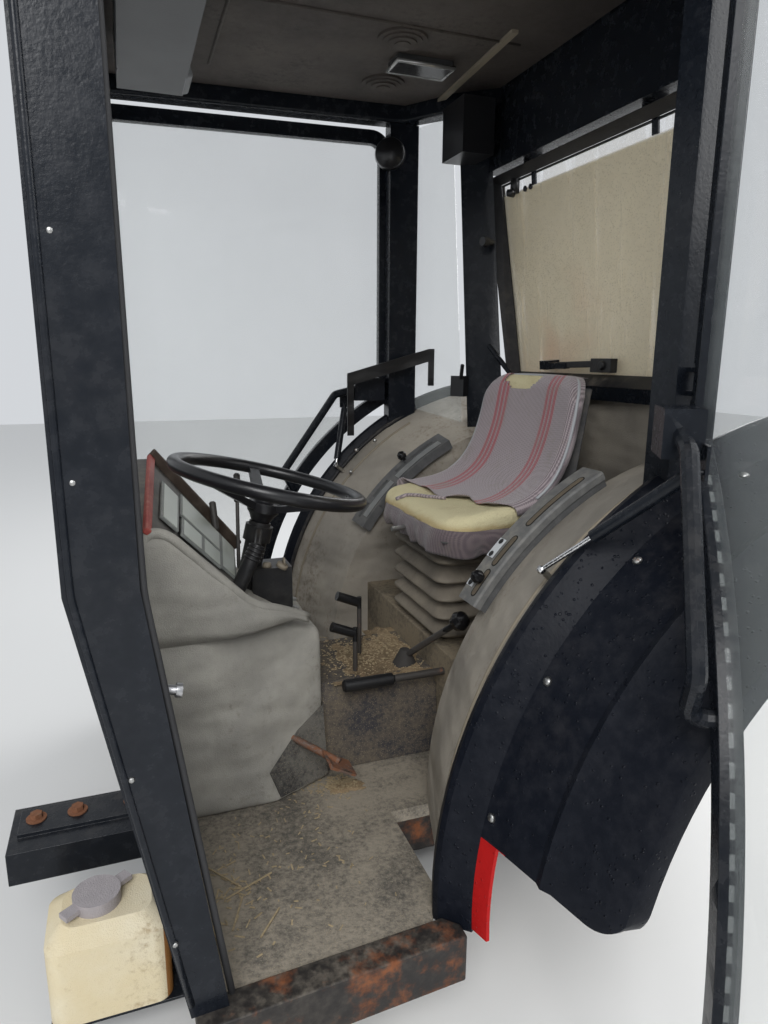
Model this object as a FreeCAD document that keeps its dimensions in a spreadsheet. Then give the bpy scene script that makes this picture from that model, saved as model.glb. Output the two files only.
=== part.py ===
import FreeCAD, Part
import math
import os
import sys
import Sketcher
from FreeCAD import Matrix, Placement, Rotation, Vector

# Cab of a farm tractor: frame, roof, doors, rear fenders, floor, seat and controls.
# Millimetres. +X is the way the tractor drives, +Y its left, +Z up.
# The origin is the middle of the four cab bolts, on the faces of the rubber mounts.

LEFT = 1
RIGHT = -1
SIDES = (("left", LEFT), ("right", RIGHT))

# Driving dimensions: alias, value
SIZES = (
    # cab mounts and subframe
    ("bolt_span_x", 900.0),
    ("bolt_span_y", 600.0),
    ("bolt_hole_r", 9.0),
    ("mount_r", 45.0),
    ("mount_height", 50.0),
    ("chassis_rail_wide", 70.0),
    ("cross_beam_wide", 60.0),
    # floor
    ("floor_top", 200.0),
    ("floor_thick", 30.0),
    ("floor_front_x", 520.0),
    ("sill_wide", 55.0),
    ("sill_deep", 90.0),
    ("sill_lip", 12.0),
    # cab outline in plan, at the middle of each post
    ("a_post_x", 602.0),
    ("a_post_y", 727.0),
    ("b_post_x", -348.0),
    ("b_post_y", 672.0),
    ("post_thick", 56.0),
    ("a_post_wide", 90.0),
    ("a_post_foot_wide", 56.0),
    ("a_post_foot_x", 500.0),
    ("kink_z", 880.0),
    ("b_post_wide", 95.0),
    ("rear_wall_x", -640.0),
    ("rear_wall_thick", 20.0),
    ("rail_bottom", 1890.0),
    ("rail_high", 60.0),
    ("rail_wide", 70.0),
    # rear corner posts: plan point where the quarter glass ends, and where the rear window ends
    ("c_low_front_x", -506.0),
    ("c_low_front_y", 450.0),
    ("c_low_rear_x", -600.0),
    ("c_low_rear_y", 380.0),
    ("c_top_front_x", -467.0),
    ("c_top_front_y", 500.0),
    ("c_top_rear_x", -545.0),
    ("c_top_rear_y", 446.0),
    ("c_post_thick", 45.0),
    # roof
    ("roof_high", 125.0),
    ("roof_skirt", 65.0),
    ("roof_overhang", 45.0),
    ("roof_skin", 12.0),
    ("headliner_thick", 15.0),
    # wheel arch, about the axle line
    ("axle_x", -730.0),
    ("axle_z", 250.0),
    ("arch_r", 805.0),
    ("arch_inner_r", 715.0),
    ("arch_wall_y", 380.0),
    ("arch_edge_y", 655.0),
    ("sheet", 6.0),
    ("flange_r", 838.0),
    ("flange_wide", 52.0),
    ("panel_inner_r", 790.0),
    ("panel_inner_y", 736.0),
    ("panel_outer_r", 717.0),
    ("panel_outer_y", 1000.0),
    ("fender_front_deg", 10.0),
    ("fender_rear_deg", 128.0),
    ("fender_lip", 34.0),
    ("fender_rib", 7.0),
    ("fender_tip_r", 62.0),
    ("gusset_deg", -3.0),
    # doors
    ("door_thick", 30.0),
    ("door_clear", 5.3),
    ("door_frame_wide", 42.0),
    ("door_top", 1884.0),
    ("door_bottom", 232.0),
    ("door_corner_r", 70.0),
    ("door_arch_gap", 27.0),
    ("hinge_ahead", 13.0),
    ("door_hinge_gap", 8.0),
    ("door_long", 932.0),
    ("door_foot_long", 838.0),
    ("door_open_deg", 54.0),
    ("glass_thick", 6.0),
    # latch housing on the door, under its lower hinge
    ("lock_drop", 68.0),
    ("lock_high", 75.0),
    ("lock_deep", 60.0),
    ("rail_r", 13.0),
    # door struts: pin on the door, from its hinge line, and ball on the arch lining
    ("strut_pin_u", 175.0),
    ("strut_pin_in", 32.0),
    ("strut_pin_drop", 82.0),
    ("strut_eye_deg", 41.7),
    ("strut_eye_y", 636.0),
    ("strut_eye_out", 36.9),
    ("strut_ball_r", 8.5),
    ("seat_gap", 0.3),
    # hinges
    ("hinge_low_up", 42.0),
    ("hinge_high_z", 1790.0),
    ("hinge_pin_r", 6.0),
    ("hinge_play", 0.05),
    ("hinge_knuckle_high", 30.0),
    ("hinge_plate", 8.0),
    ("strut_tube_long", 180.0),
    ("strut_rod_long", 140.0),
    # rear window, hung from its top edge
    ("window_top_z", 1700.0),
    ("window_bottom_z", 1104.0),
    ("window_top_half", 440.0),
    ("window_bottom_half", 372.0),
    ("window_hinge_x", -592.0),
    ("window_lean_deg", 5.7),
    ("window_hinge_y", 250.0),
    ("rear_pin_ahead", 45.0),
    ("rear_pin_y", 378.0),
    ("rear_pin_down", 100.0),
    ("rear_eye_down", 350.0),
    ("rear_eye_in", 14.0),
    # front wall and dash
    ("front_wall_thick", 24.0),
    ("cowl_half", 270.0),
    ("cowl_top_half", 133.0),
    ("cowl_corner_long", 135.0),
    ("cowl_corner_wide", 60.0),
    ("cowl_rear_x", 165.0),
    ("cowl_rear_z", 558.0),
    ("cowl_top_z", 640.0),
    ("panel_top_z", 905.0),
    ("tunnel_half", 185.0),
    ("tunnel_top", 400.0),
    ("deck_top", 470.0),
    ("deck_front_x", -130.0),
    # steering
    ("wheel_x", 245.0),
    ("wheel_z", 876.0),
    ("wheel_lean_deg", 14.0),
    ("wheel_r", 222.0),
    ("wheel_rim_r", 13.0),
    ("wheel_dish", 62.0),
    ("column_r", 26.0),
    ("hub_r", 38.0),
    ("spoke_wide", 26.0),
    # seat
    ("seat_half", 240.0),
    ("seat_front_x", -108.0),
    ("seat_pan_z", 762.0),
    ("seat_pad_thick", 56.0),
    ("seat_back_x", -392.0),
    ("seat_back_top", 1128.0),
    ("bellows_half_x", 130.0),
    ("bellows_half_y", 165.0),
    # washer bottle
    ("bottle_x", 645.0),
    ("bottle_y", 480.0),
    ("bottle_z", 60.0),
    ("bottle_long", 200.0),
    ("bottle_wide", 150.0),
    ("bottle_high", 170.0),
    ("bottle_corner_r", 28.0),
    ("bottle_slope", 26.0),
)


class Size:
    """A length that keeps its value together with the sheet expression that gives it."""

    def __init__(self, text, value):
        self.text = text
        self.value = value

    def __add__(self, other):
        other = as_size(other)
        return Size(f"({self.text} + {other.text})", self.value + other.value)

    def __sub__(self, other):
        other = as_size(other)
        return Size(f"({self.text} - {other.text})", self.value - other.value)

    def __mul__(self, other):
        other = as_size(other)
        return Size(f"({self.text} * {other.text})", self.value * other.value)

    def __truediv__(self, other):
        other = as_size(other)
        return Size(f"({self.text} / {other.text})", self.value / other.value)

    def __neg__(self):
        return Size(f"(0 - {self.text})", -self.value)

    __radd__ = __add__
    __rmul__ = __mul__

    def __rsub__(self, other):
        return as_size(other) - self


def as_size(item):
    if isinstance(item, Size):
        return item
    return Size(f"{float(item):.6f}", float(item))


def root(item):
    return Size(f"sqrt({item.text})", math.sqrt(item.value))


def sine(degrees):
    degrees = as_size(degrees)
    return Size(f"sin({degrees.text})", math.sin(math.radians(degrees.value)))


def cosine(degrees):
    degrees = as_size(degrees)
    return Size(f"cos({degrees.text})", math.cos(math.radians(degrees.value)))


doc = FreeCAD.newDocument("tractor_cab")
sheet = doc.addObject("Spreadsheet::Sheet", "Sizes")


class Sheet:
    """The driving dimensions, by name."""


size = Sheet()
for row, (alias, value) in enumerate(SIZES, start=1):
    sheet.set(f"A{row}", alias)
    sheet.set(f"B{row}", str(value))
    sheet.setAlias(f"B{row}", alias)
    setattr(size, alias, Size(f"Sizes.{alias}", value))
doc.recompute()

nodes = []


def node(item, label):
    """Give a finished piece its name in the assembly."""
    item.Label = label
    nodes.append(item)
    return item


def bind(item, prop, amount):
    """Tie one property of a feature to the sheet."""
    item.setExpression(prop, as_size(amount).text)


def place(item, at=(0, 0, 0), axis=(0, 0, 1), degrees=0):
    """Put a piece at a point, turned about an axis."""
    at = [as_size(c) for c in at]
    degrees = as_size(degrees)
    item.Placement = Placement(Vector(*[c.value for c in at]), Rotation(Vector(*axis), degrees.value))
    for name, amount in zip("xyz", at):
        bind(item, f"Placement.Base.{name}", amount)
    if degrees.value:
        bind(item, "Placement.Rotation.Angle", degrees)
    return item


def arc_centre(start, end, radius):
    """Centre of the arc from start to end. A positive radius turns left on the way."""
    middle = (start + end) * 0.5
    chord = end - start
    rise = math.sqrt(max(radius * radius - chord.Length * chord.Length / 4.0, 0.0))
    left = Vector(-chord.y, chord.x, 0).normalize()
    return middle + left * math.copysign(rise, radius)


def draw(sketch, outlines):
    """Closed outlines of (u, v) or (u, v, radius) points. The radius bends the run that starts there."""
    for outline in outlines:
        corners = [(as_size(p[0]), as_size(p[1]), as_size(p[2]) if len(p) > 2 else None) for p in outline]
        spots = [Vector(u.value, v.value, 0) for u, v, _ in corners]
        first = sketch.GeometryCount
        count = len(corners)
        ends = []
        for i, (_, _, bend) in enumerate(corners):
            start, end = spots[i], spots[(i + 1) % count]
            if bend is None:
                sketch.addGeometry(Part.LineSegment(start, end), False)
                ends.append((1, 2))
                continue
            centre = arc_centre(start, end, bend.value)
            low, high = (start, end) if bend.value > 0 else (end, start)
            turn = [math.atan2(p.y - centre.y, p.x - centre.x) for p in (low, high)]
            if turn[1] < turn[0]:
                turn[1] += 2 * math.pi
            circle = Part.Circle(centre, Vector(0, 0, 1), abs(bend.value))
            sketch.addGeometry(Part.ArcOfCircle(circle, turn[0], turn[1]), False)
            ends.append((1, 2) if bend.value > 0 else (2, 1))
        for i in range(count):
            after = (i + 1) % count
            sketch.addConstraint(
                Sketcher.Constraint("Coincident", first + i, ends[i][1], first + after, ends[after][0]))
        for i, (u, v, bend) in enumerate(corners):
            for kind, amount in (("DistanceX", u), ("DistanceY", v)):
                index = sketch.addConstraint(
                    Sketcher.Constraint(kind, -1, 1, first + i, ends[i][0], amount.value))
                sketch.setExpression(f"Constraints[{index}]", amount.text)
            if bend is not None:
                index = sketch.addConstraint(Sketcher.Constraint("Radius", first + i, abs(bend.value)))
                sketch.setExpression(f"Constraints[{index}]", f"abs({bend.text})")


def new_sketch(body, name, plane, outlines):
    """A sketch on one of the body's own planes: XY, XZ (seen from the right) or YZ."""
    sketch = body.newObject("Sketcher::SketchObject", name)
    feature = [f for f in body.Origin.OriginFeatures if f.Role == f"{plane}_Plane"][0]
    sketch.AttachmentSupport = [(feature, "")]
    sketch.MapMode = "FlatFace"
    draw(sketch, outlines)
    return sketch


def plate(name, plane, outlines, thick, middle=True):
    """A body padded from closed outlines, about the plane or up from it."""
    body = doc.addObject("PartDesign::Body", name)
    sketch = new_sketch(body, name + "_outline", plane, outlines)
    pad = body.newObject("PartDesign::Pad", name + "_pad")
    pad.Profile = sketch
    bind(pad, "Length", thick)
    if middle:
        pad.SideType = "Symmetric"
    return body


def turned(name, outline, degrees=360):
    """A body turned about its own Z axis from a half section of (radius, z) points."""
    body = doc.addObject("PartDesign::Body", name)
    sketch = new_sketch(body, name + "_section", "XZ", [outline])
    spin = body.newObject("PartDesign::Revolution", name + "_turn")
    spin.Profile = sketch
    spin.ReferenceAxis = (sketch, ["V_Axis"])
    bind(spin, "Angle", degrees)
    return body


def box(name, low, high):
    """A block between two corners."""
    item = doc.addObject("Part::Box", name)
    low = [as_size(c) for c in low]
    high = [as_size(c) for c in high]
    for prop, a, b in zip(("Length", "Width", "Height"), low, high):
        bind(item, prop, b - a)
    return place(item, low)


def round_bar(name, radius, long, at=(0, 0, 0), axis=(0, 0, 1), degrees=0):
    """A cylinder that starts at a point."""
    item = doc.addObject("Part::Cylinder", name)
    bind(item, "Radius", radius)
    bind(item, "Height", long)
    return place(item, at, axis, degrees)


def rod(name, start, end, radius):
    """A round bar from one point to another."""
    start = [as_size(c) for c in start]
    end = [as_size(c) for c in end]
    item = doc.addObject("Part::Cylinder", name)
    bind(item, "Radius", radius)
    gaps = [b - a for a, b in zip(start, end)]
    bind(item, "Height", root(gaps[0] * gaps[0] + gaps[1] * gaps[1] + gaps[2] * gaps[2]))
    run = Vector(*[g.value for g in gaps])
    item.Placement = Placement(Vector(*[c.value for c in start]), Rotation(Vector(0, 0, 1), run))
    for letter, amount in zip("xyz", start):
        bind(item, f"Placement.Base.{letter}", amount)
    return item


def spindle(name, start, end, stem_r, knob_r=0, grip_r=0, grip_long=0):
    """A turned lever or rod from one point to another, with a knob round its end or a grip along it."""
    ends = [Vector(*[as_size(c).value for c in p]) for p in (start, end)]
    run = ends[1] - ends[0]
    long = run.Length
    outline = [(0, 0), (stem_r, 0)]
    if grip_r:
        outline += [(stem_r, long - grip_long), (grip_r, long - grip_long + 4), (grip_r, long - 4),
                    (grip_r - 4, long)]
    elif knob_r:
        rings = [(cosine(degrees) * knob_r, long + sine(degrees) * knob_r) for degrees in (-36, 0, 36, 72)]
        outline += [(stem_r, long - 0.85 * as_size(knob_r))] + rings
    else:
        outline += [(stem_r, long)]
    outline.append((0, outline[-1][1]))
    body = turned(name, outline)
    body.Placement = Placement(ends[0], Rotation(Vector(0, 0, 1), run))
    return body


def rectangle(half_x, half_y, middle_x=0):
    """Corners of a level rectangle."""
    return [(middle_x - half_x, -as_size(half_y)), (middle_x + half_x, -as_size(half_y)),
            (middle_x + half_x, half_y), (middle_x - half_x, half_y)]


def joined(name, parts):
    """One solid from pieces that meet."""
    item = doc.addObject("Part::MultiFuse", name)
    item.Shapes = parts
    item.Refine = True
    return item


def cut(name, base, tool):
    item = doc.addObject("Part::Cut", name)
    item.Base = base
    item.Tool = tool
    return item


def common(name, base, tool):
    item = doc.addObject("Part::Common", name)
    item.Base = base
    item.Tool = tool
    return item


def together(name, parts):
    """Like pieces on one body that stand apart, in one node."""
    item = doc.addObject("Part::Compound", name)
    item.Links = parts
    return item


def prism(name, low_z, low_outline, high_z, high_outline):
    """A leaning post between a lower and an upper outline, both level."""
    ends = []
    for tag, level, outline in (("low", low_z, low_outline), ("high", high_z, high_outline)):
        sketch = doc.addObject("Sketcher::SketchObject", f"{name}_{tag}")
        draw(sketch, [outline])
        place(sketch, (0, 0, level))
        ends.append(sketch)
    item = doc.addObject("Part::Loft", name)
    item.Sections = ends
    item.Solid = True
    item.Ruled = True
    return item


def bent_tube(label, points, radius, bend):
    """A ten-sided bar along straight runs, with each bend in three short steps."""
    spots = [Vector(*[as_size(c).value for c in p]) for p in points]
    route = [spots[0]]
    for before, corner, after in zip(spots, spots[1:], spots[2:]):
        come = (corner - before).normalize()
        leave = (after - corner).normalize()
        turn = come.getAngle(leave)
        reach = bend * math.tan(turn / 2)
        centre = corner + (leave - come).normalize() * (bend / math.cos(turn / 2))
        axis = come.cross(leave)
        arm = corner - come * reach - centre
        for step in range(4):
            route.append(centre + Rotation(axis, math.degrees(turn) * step / 3).multVec(arm))
    route.append(spots[-1])
    facing = Placement(spots[0], Rotation(Vector(0, 0, 1), spots[1] - spots[0]))
    reach = as_size(radius).value
    corners = []
    for index in range(10):
        angle = math.radians(36 * index)
        corners.append(facing.multVec(Vector(reach * math.cos(angle), reach * math.sin(angle), 0)))
    item = doc.addObject("Part::Feature", label)
    item.Shape = Part.makePolygon(route).makePipeShell([Part.makePolygon(corners + corners[:1])], True, False, 1)
    return item


# Mounts and subframe
def build_subframe():
    rails = []
    reach_x = size.bolt_span_x / 2 + 110
    for name, side in SIDES:
        middle = size.bolt_span_y * 0.5 * side
        half = size.chassis_rail_wide / 2
        rails.append(box(f"rail_{name}", (-reach_x - 20, middle - half, size.mount_height),
                         (reach_x - 50, middle + half, size.floor_top - size.floor_thick)))
    for name, end in (("front", 1), ("rear", -1)):
        middle = size.bolt_span_x * 0.5 * end
        half = size.cross_beam_wide / 2
        rails.append(box(f"cross_{name}", (middle - half, -size.bolt_span_y / 2, size.mount_height + 20),
                         (middle + half, size.bolt_span_y / 2, size.floor_top - size.floor_thick - 15)))
    holes = []
    mounts = []
    for end in (1, -1):
        for _, side in SIDES:
            spot = (size.bolt_span_x * 0.5 * end, size.bolt_span_y * 0.5 * side, 0)
            tag = len(mounts)
            bore = round_bar(f"bolt_hole_{tag}", size.bolt_hole_r, size.mount_height + 40, spot)
            drum = round_bar(f"rubber_{tag}", size.mount_r, size.mount_height, spot)
            mounts.append(cut(f"mount_{tag}", drum, bore))
            holes.append(bore)
    node(cut("subframe_bored", joined("subframe_blank", rails), together("bolt_holes", holes)), "subframe")
    node(together("mounts", mounts), "cab_mounts")


# Floor, sills, tunnel and deck under the seat
def build_floor(trim):
    arch_foot = size.axle_x + root(size.arch_r * size.arch_r - (size.axle_z - size.floor_top)
                                   * (size.axle_z - size.floor_top))
    flange_foot = size.axle_x + size.flange_r + 1
    flange_foot_y = door_line_y(flange_foot)
    front_y = door_line_y(size.floor_front_x)
    wall = size.arch_wall_y
    rear = size.rear_wall_x
    near = [(size.floor_front_x, front_y), (flange_foot, flange_foot_y), (flange_foot, size.arch_edge_y),
            (arch_foot, size.arch_edge_y), (arch_foot, wall), (rear, wall)]
    outline = near + [(x, -y) for x, y in reversed(near)]
    floor = plate("floor_body", "XY", [outline], size.floor_thick, middle=False)
    node(place(floor, (0, 0, size.floor_top - size.floor_thick)), "floor_pan")
    beams = []
    for name, side in SIDES:
        beam = [(size.floor_front_x, front_y * side), (arch_foot, door_line_y(arch_foot) * side),
                (arch_foot, (door_line_y(arch_foot) + size.sill_wide) * side),
                (size.floor_front_x, (front_y + size.sill_wide) * side)]
        body = plate(f"sill_{name}", "XY", [beam], size.sill_deep, middle=False)
        place(body, (0, 0, size.floor_top + size.sill_lip - size.sill_deep))
        beams.append(cut(f"sill_trimmed_{name}", body, trim))
    node(together("sill_pair", beams), "sills")
    half = size.tunnel_half
    skin = size.sheet
    hump = [(-half, 0), (-half + 25, size.tunnel_top - size.floor_top - 30),
            (-half + 60, size.tunnel_top - size.floor_top), (half - 60, size.tunnel_top - size.floor_top),
            (half - 25, size.tunnel_top - size.floor_top - 30), (half, 0), (half - skin, 0),
            (half - 25 - skin, size.tunnel_top - size.floor_top - 30 - skin / 2),
            (half - 60 - skin / 2, size.tunnel_top - size.floor_top - skin),
            (-half + 60 + skin / 2, size.tunnel_top - size.floor_top - skin),
            (-half + 25 + skin, size.tunnel_top - size.floor_top - 30 - skin / 2), (-half + skin, 0)]
    tunnel = plate("tunnel_body", "YZ", [hump], size.cowl_rear_x - size.deck_front_x, middle=False)
    node(place(tunnel, (size.deck_front_x, 0, size.floor_top)), "tunnel")
    front = size.deck_front_x
    back = size.rear_wall_x + size.rear_wall_thick
    step = [(front, size.floor_top), (front, size.deck_top), (back, size.deck_top),
            (back, size.deck_top - skin), (front - skin, size.deck_top - skin), (front - skin,
                                                                                 size.floor_top)]
    deck = plate("deck_body", "XZ", [step], size.arch_wall_y * 2 - size.sheet * 2)
    node(deck, "seat_deck")


def door_line_y(x):
    """Half width of the cab at a place along its length."""
    slope = (size.a_post_y - size.b_post_y) / (size.a_post_x - size.b_post_x)
    return size.b_post_y + slope * (as_size(x) - size.b_post_x)


# Wheel arches and fenders, turned about the axle line
def arch_surface():
    """Outer face of lining, sealing flange and fender panel: radius, then distance from the middle."""
    crest = size.arch_edge_y + size.flange_wide / 2
    return [(size.arch_inner_r, size.arch_wall_y - size.sheet), (size.arch_r, size.arch_edge_y),
            (size.flange_r - 4, crest - 14), (size.flange_r, crest), (size.flange_r - 4, crest + 12),
            (size.panel_inner_r, size.panel_inner_y), (size.panel_outer_r, size.panel_outer_y)]


def wheel_space():
    """The whole space under both arches, which trims what stands on them."""
    parts = []
    face = arch_surface()
    for name, side in SIDES:
        section = [(0, face[0][1])] + face + [(0, size.panel_outer_y)]
        body = turned(f"wheel_space_{name}", section)
        parts.append(place(body, (size.axle_x, 0, size.axle_z), (1, 0, 0), -90 * side))
    return together("wheel_spaces", parts)


def swung(name, section, side, low_degrees, high_degrees):
    """A section turned about the axle line between two angles, up from straight ahead."""
    body = turned(name, section, high_degrees - low_degrees)
    start = high_degrees if side == LEFT else low_degrees
    spin = Rotation(Vector(0, 1, 0), -as_size(start).value) * Rotation(Vector(1, 0, 0), -90 * side)
    body.Placement = Placement(Vector(size.axle_x.value, 0, size.axle_z.value), spin)
    bind(body, "Placement.Base.x", size.axle_x)
    bind(body, "Placement.Base.z", size.axle_z)
    return body


def arch_skin_r(y):
    """Radius of the lining's outer face at a distance from the middle."""
    slope = (size.arch_r - size.arch_inner_r) / (size.arch_edge_y - size.arch_wall_y + size.sheet)
    return size.arch_inner_r + slope * (as_size(y) - size.arch_wall_y + size.sheet)


def strut_eye(side):
    """Centre of a door strut's ball end, outside the lining."""
    far = arch_skin_r(size.strut_eye_y) + size.strut_eye_out
    return (size.axle_x + cosine(size.strut_eye_deg) * far, size.strut_eye_y * side,
            size.axle_z + sine(size.strut_eye_deg) * far)


def strut_stud(name, side):
    """Stud on the lining, under the ball end of a door strut."""
    skin_r = arch_skin_r(size.strut_eye_y)
    spots = []
    for r in (skin_r - size.sheet / 2, skin_r + size.strut_eye_out - size.strut_ball_r - size.seat_gap):
        spots.append((size.axle_x + cosine(size.strut_eye_deg) * r, size.strut_eye_y * side,
                      size.axle_z + sine(size.strut_eye_deg) * r))
    return rod(name, spots[0], spots[1], 6)


def flange_top():
    """Level of the sealing flange's crest."""
    return size.axle_z + size.flange_r


def tip_cutter(name, side):
    """What rounds the free corner at the front end of a fender panel."""
    radius = size.fender_tip_r.value
    deep = 130.0
    low_r = size.panel_outer_r.value - size.fender_lip.value - 30
    corner = Part.makeBox(radius + 12, radius + 6, deep, Vector(-12, -6, 0))
    kept = Part.makeCylinder(radius, deep + 2, Vector(radius, radius, -1))
    angle = math.radians(size.fender_front_deg.value)
    up = Vector(math.cos(angle), 0, math.sin(angle))
    along = Vector(-math.sin(angle), 0, math.cos(angle))
    inward = Vector(0, -side, 0)
    normal = inward.cross(along)
    start = Vector(size.axle_x.value, (size.panel_outer_y.value + 4) * side, size.axle_z.value)
    start += up * (low_r if normal.dot(up) > 0 else low_r + deep)
    turn = Matrix(inward.x, along.x, normal.x, start.x, inward.y, along.y, normal.y, start.y,
                  inward.z, along.z, normal.z, start.z, 0, 0, 0, 1)
    item = doc.addObject("Part::Feature", name)
    item.Shape = corner.cut(kept).transformGeometry(turn)
    return item


def arm_rail(trim):
    """Flat bar on two feet over the right arch, behind the door."""
    low = size.axle_z + arch_skin_r(580) - 60
    outline = [(-152, low - 60), (-130, low - 60), (-130, low + 138), (-131, low + 142), (-418, low + 222),
               (-436, low + 222), (-436, low + 100), (-416, low + 100), (-416, low + 180), (-152,
                                                                                            low + 106)]
    bar = place(plate("arm_rail_bar", "XZ", [outline], size.sheet), (0, -580, 0))
    return cut("arm_rail", bar, trim)


def build_arches(trim):
    rear = size.rear_wall_x + size.rear_wall_thick
    skin = size.sheet
    face = arch_surface()
    foot_deg = -math.degrees(math.asin((size.axle_z - size.floor_top).value / size.arch_r.value))
    lining_outline = [(skin, face[0][1]), face[0], face[1], (size.arch_r - skin, size.arch_edge_y),
                      (size.arch_inner_r - skin, size.arch_wall_y), (skin, size.arch_wall_y)]
    flange_outline = face[1:6] + [(size.panel_inner_r - skin, size.panel_inner_y - skin / 2),
                                  (size.flange_r - skin - 6, face[4][1] - skin),
                                  (size.flange_r - skin - 6, face[2][1] + skin),
                                  (size.arch_r - skin, size.arch_edge_y)]
    slope = (size.panel_inner_r - size.panel_outer_r) / (size.panel_outer_y - size.panel_inner_y)
    middle = size.panel_inner_y + (size.panel_outer_y - size.panel_inner_y) * 0.5
    middle_r = size.panel_inner_r - slope * (middle - size.panel_inner_y)
    rib = 14
    panel_outline = [face[5], (middle_r + slope * rib, middle - rib), (middle_r + size.fender_rib, middle),
                     (middle_r - slope * rib, middle + rib), face[6],
                     (size.panel_outer_r - size.fender_lip, size.panel_outer_y + 4),
                     (size.panel_outer_r - size.fender_lip, size.panel_outer_y - skin),
                     (size.panel_outer_r - skin, size.panel_outer_y - skin),
                     (size.panel_inner_r - skin, size.panel_inner_y - skin / 2)]
    gusset_outline = [(size.panel_inner_r, size.panel_inner_y),
                      (size.panel_inner_r - 10, size.panel_inner_y + 34),
                      (size.panel_inner_r - 10 - skin, size.panel_inner_y + 34),
                      (size.panel_inner_r - skin, size.panel_inner_y - skin / 2)]
    linings = []
    fenders = []
    for name, side in SIDES:
        lining = turned(f"arch_lining_{name}", lining_outline)
        place(lining, (size.axle_x, 0, size.axle_z), (1, 0, 0), -90 * side)
        near = size.arch_wall_y * side - 30 * side
        far = size.arch_edge_y * side + 30 * side
        low_y, high_y = (near, far) if side == LEFT else (far, near)
        keep = box(f"arch_keep_{name}", (rear, low_y, size.floor_top),
                   (size.axle_x + size.arch_r + 10, high_y, size.axle_z + size.arch_r + 10))
        kept = common(f"arch_kept_{name}", lining, keep)
        carried = [kept, strut_stud(f"strut_stud_{name}", side)]
        if side == RIGHT:
            carried.append(arm_rail(trim))
        linings.append(joined(f"arch_studded_{name}", carried))
        flange = swung(f"flange_{name}", flange_outline, side, foot_deg, size.fender_rear_deg)
        panel = swung(f"panel_{name}", panel_outline, side, size.fender_front_deg, size.fender_rear_deg)
        rounded = cut(f"panel_rounded_{name}", panel, tip_cutter(f"tip_cutter_{name}", side))
        gusset = swung(f"gusset_{name}", gusset_outline, side, size.gusset_deg, size.fender_front_deg)
        fenders.append(joined(f"fender_body_{name}", [flange, rounded, gusset]))
    node(together("lining_pair", linings), "wheel_houses")
    node(together("fender_pair", fenders), "fenders")


# Posts, roof rails and rear frame
def door_slope():
    """Angle of the cab's sides to the way it drives, in degrees."""
    return math.degrees(math.atan2(size.a_post_y.value - size.b_post_y.value,
                                   size.a_post_x.value - size.b_post_x.value))


def hinge_line(side):
    """Where a door's hinge pins stand, in plan."""
    offset = size.post_thick / 2 + size.door_clear + size.door_thick / 2
    x = size.b_post_x + size.hinge_ahead
    return x, (door_line_y(x) + offset) * side


def hinge_levels():
    return (("low", flange_top() + size.hinge_low_up), ("high", size.hinge_high_z))


def post_hinges(name, side):
    """Pins on the rear door post, each held by a plate above and below its knuckle."""
    x, y = hinge_line(side)
    half = size.hinge_knuckle_high / 2 + size.seat_gap
    parts = []
    for tag, level in hinge_levels():
        reach = half + size.hinge_plate
        parts.append(rod(f"hinge_pin_{tag}_{name}", (x, y, level - reach), (x, y, level + reach),
                         size.hinge_pin_r))
        root_y = size.b_post_y * side
        low_y, high_y = (root_y, y) if side == LEFT else (y, root_y)
        for end, bottom in (("under", level - reach), ("over", level + half)):
            eye = [(x - 10, low_y), (x + 10, low_y), (x + 10, high_y, 10.5), (x - 10, high_y)]
            if side == RIGHT:
                eye = [(x - 10, low_y, 10.5), (x + 10, low_y), (x + 10, high_y), (x - 10, high_y)]
            blank = plate(f"hinge_plate_{tag}_{end}_{name}", "XY", [eye], size.hinge_plate, middle=False)
            parts.append(place(blank, (0, 0, bottom)))
    return parts


def build_posts(trim):
    top = size.rail_bottom
    fronts = []
    rears = []
    for name, side in SIDES:
        half = size.a_post_wide / 2
        foot = size.a_post_foot_wide / 2
        foot_at = size.a_post_foot_x - size.a_post_x
        outline = [(-half, top), (-half, size.kink_z), (foot_at - foot, size.floor_top + size.sill_lip),
                   (foot_at + foot, size.floor_top + size.sill_lip), (half, size.kink_z), (half, top)]
        body = plate(f"a_post_body_{name}", "XZ", [outline], size.post_thick)
        place(body, (size.a_post_x, size.a_post_y * side, 0), (0, 0, 1), door_slope() * side)
        inner_y = (size.a_post_y - size.post_thick / 2 + 12) * side
        pin = rod(f"striker_pin_{name}", (size.a_post_x - 55, inner_y, 724),
                  (size.a_post_x - 92, inner_y, 716), 7)
        head = rod(f"striker_head_{name}", (size.a_post_x - 84, inner_y, 717.7),
                   (size.a_post_x - 92, inner_y, 716), 10)
        fronts.append(joined(f"a_post_struck_{name}", [body, pin, head]))
        half = size.b_post_wide / 2
        stem = plate(f"b_post_stem_{name}", "XY", [[(-half, -size.post_thick / 2),
                                                    (half, -size.post_thick / 2),
                                                    (half, size.post_thick / 2), (-half,
                                                                                  size.post_thick / 2)]],
                     top - size.axle_z - size.arch_inner_r + 40, middle=False)
        place(stem, (size.b_post_x, size.b_post_y * side, size.axle_z + size.arch_inner_r - 40), (0, 0, 1),
              door_slope() * side)
        trimmed = cut(f"b_post_body_{name}", stem, trim)
        rears.append(joined(f"b_post_hinged_{name}", [trimmed] + post_hinges(name, side)))
    front_pair = node(together("a_post_pair", fronts), "a_posts")
    node(together("b_post_pair", rears), "b_posts")
    return front_pair


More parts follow.
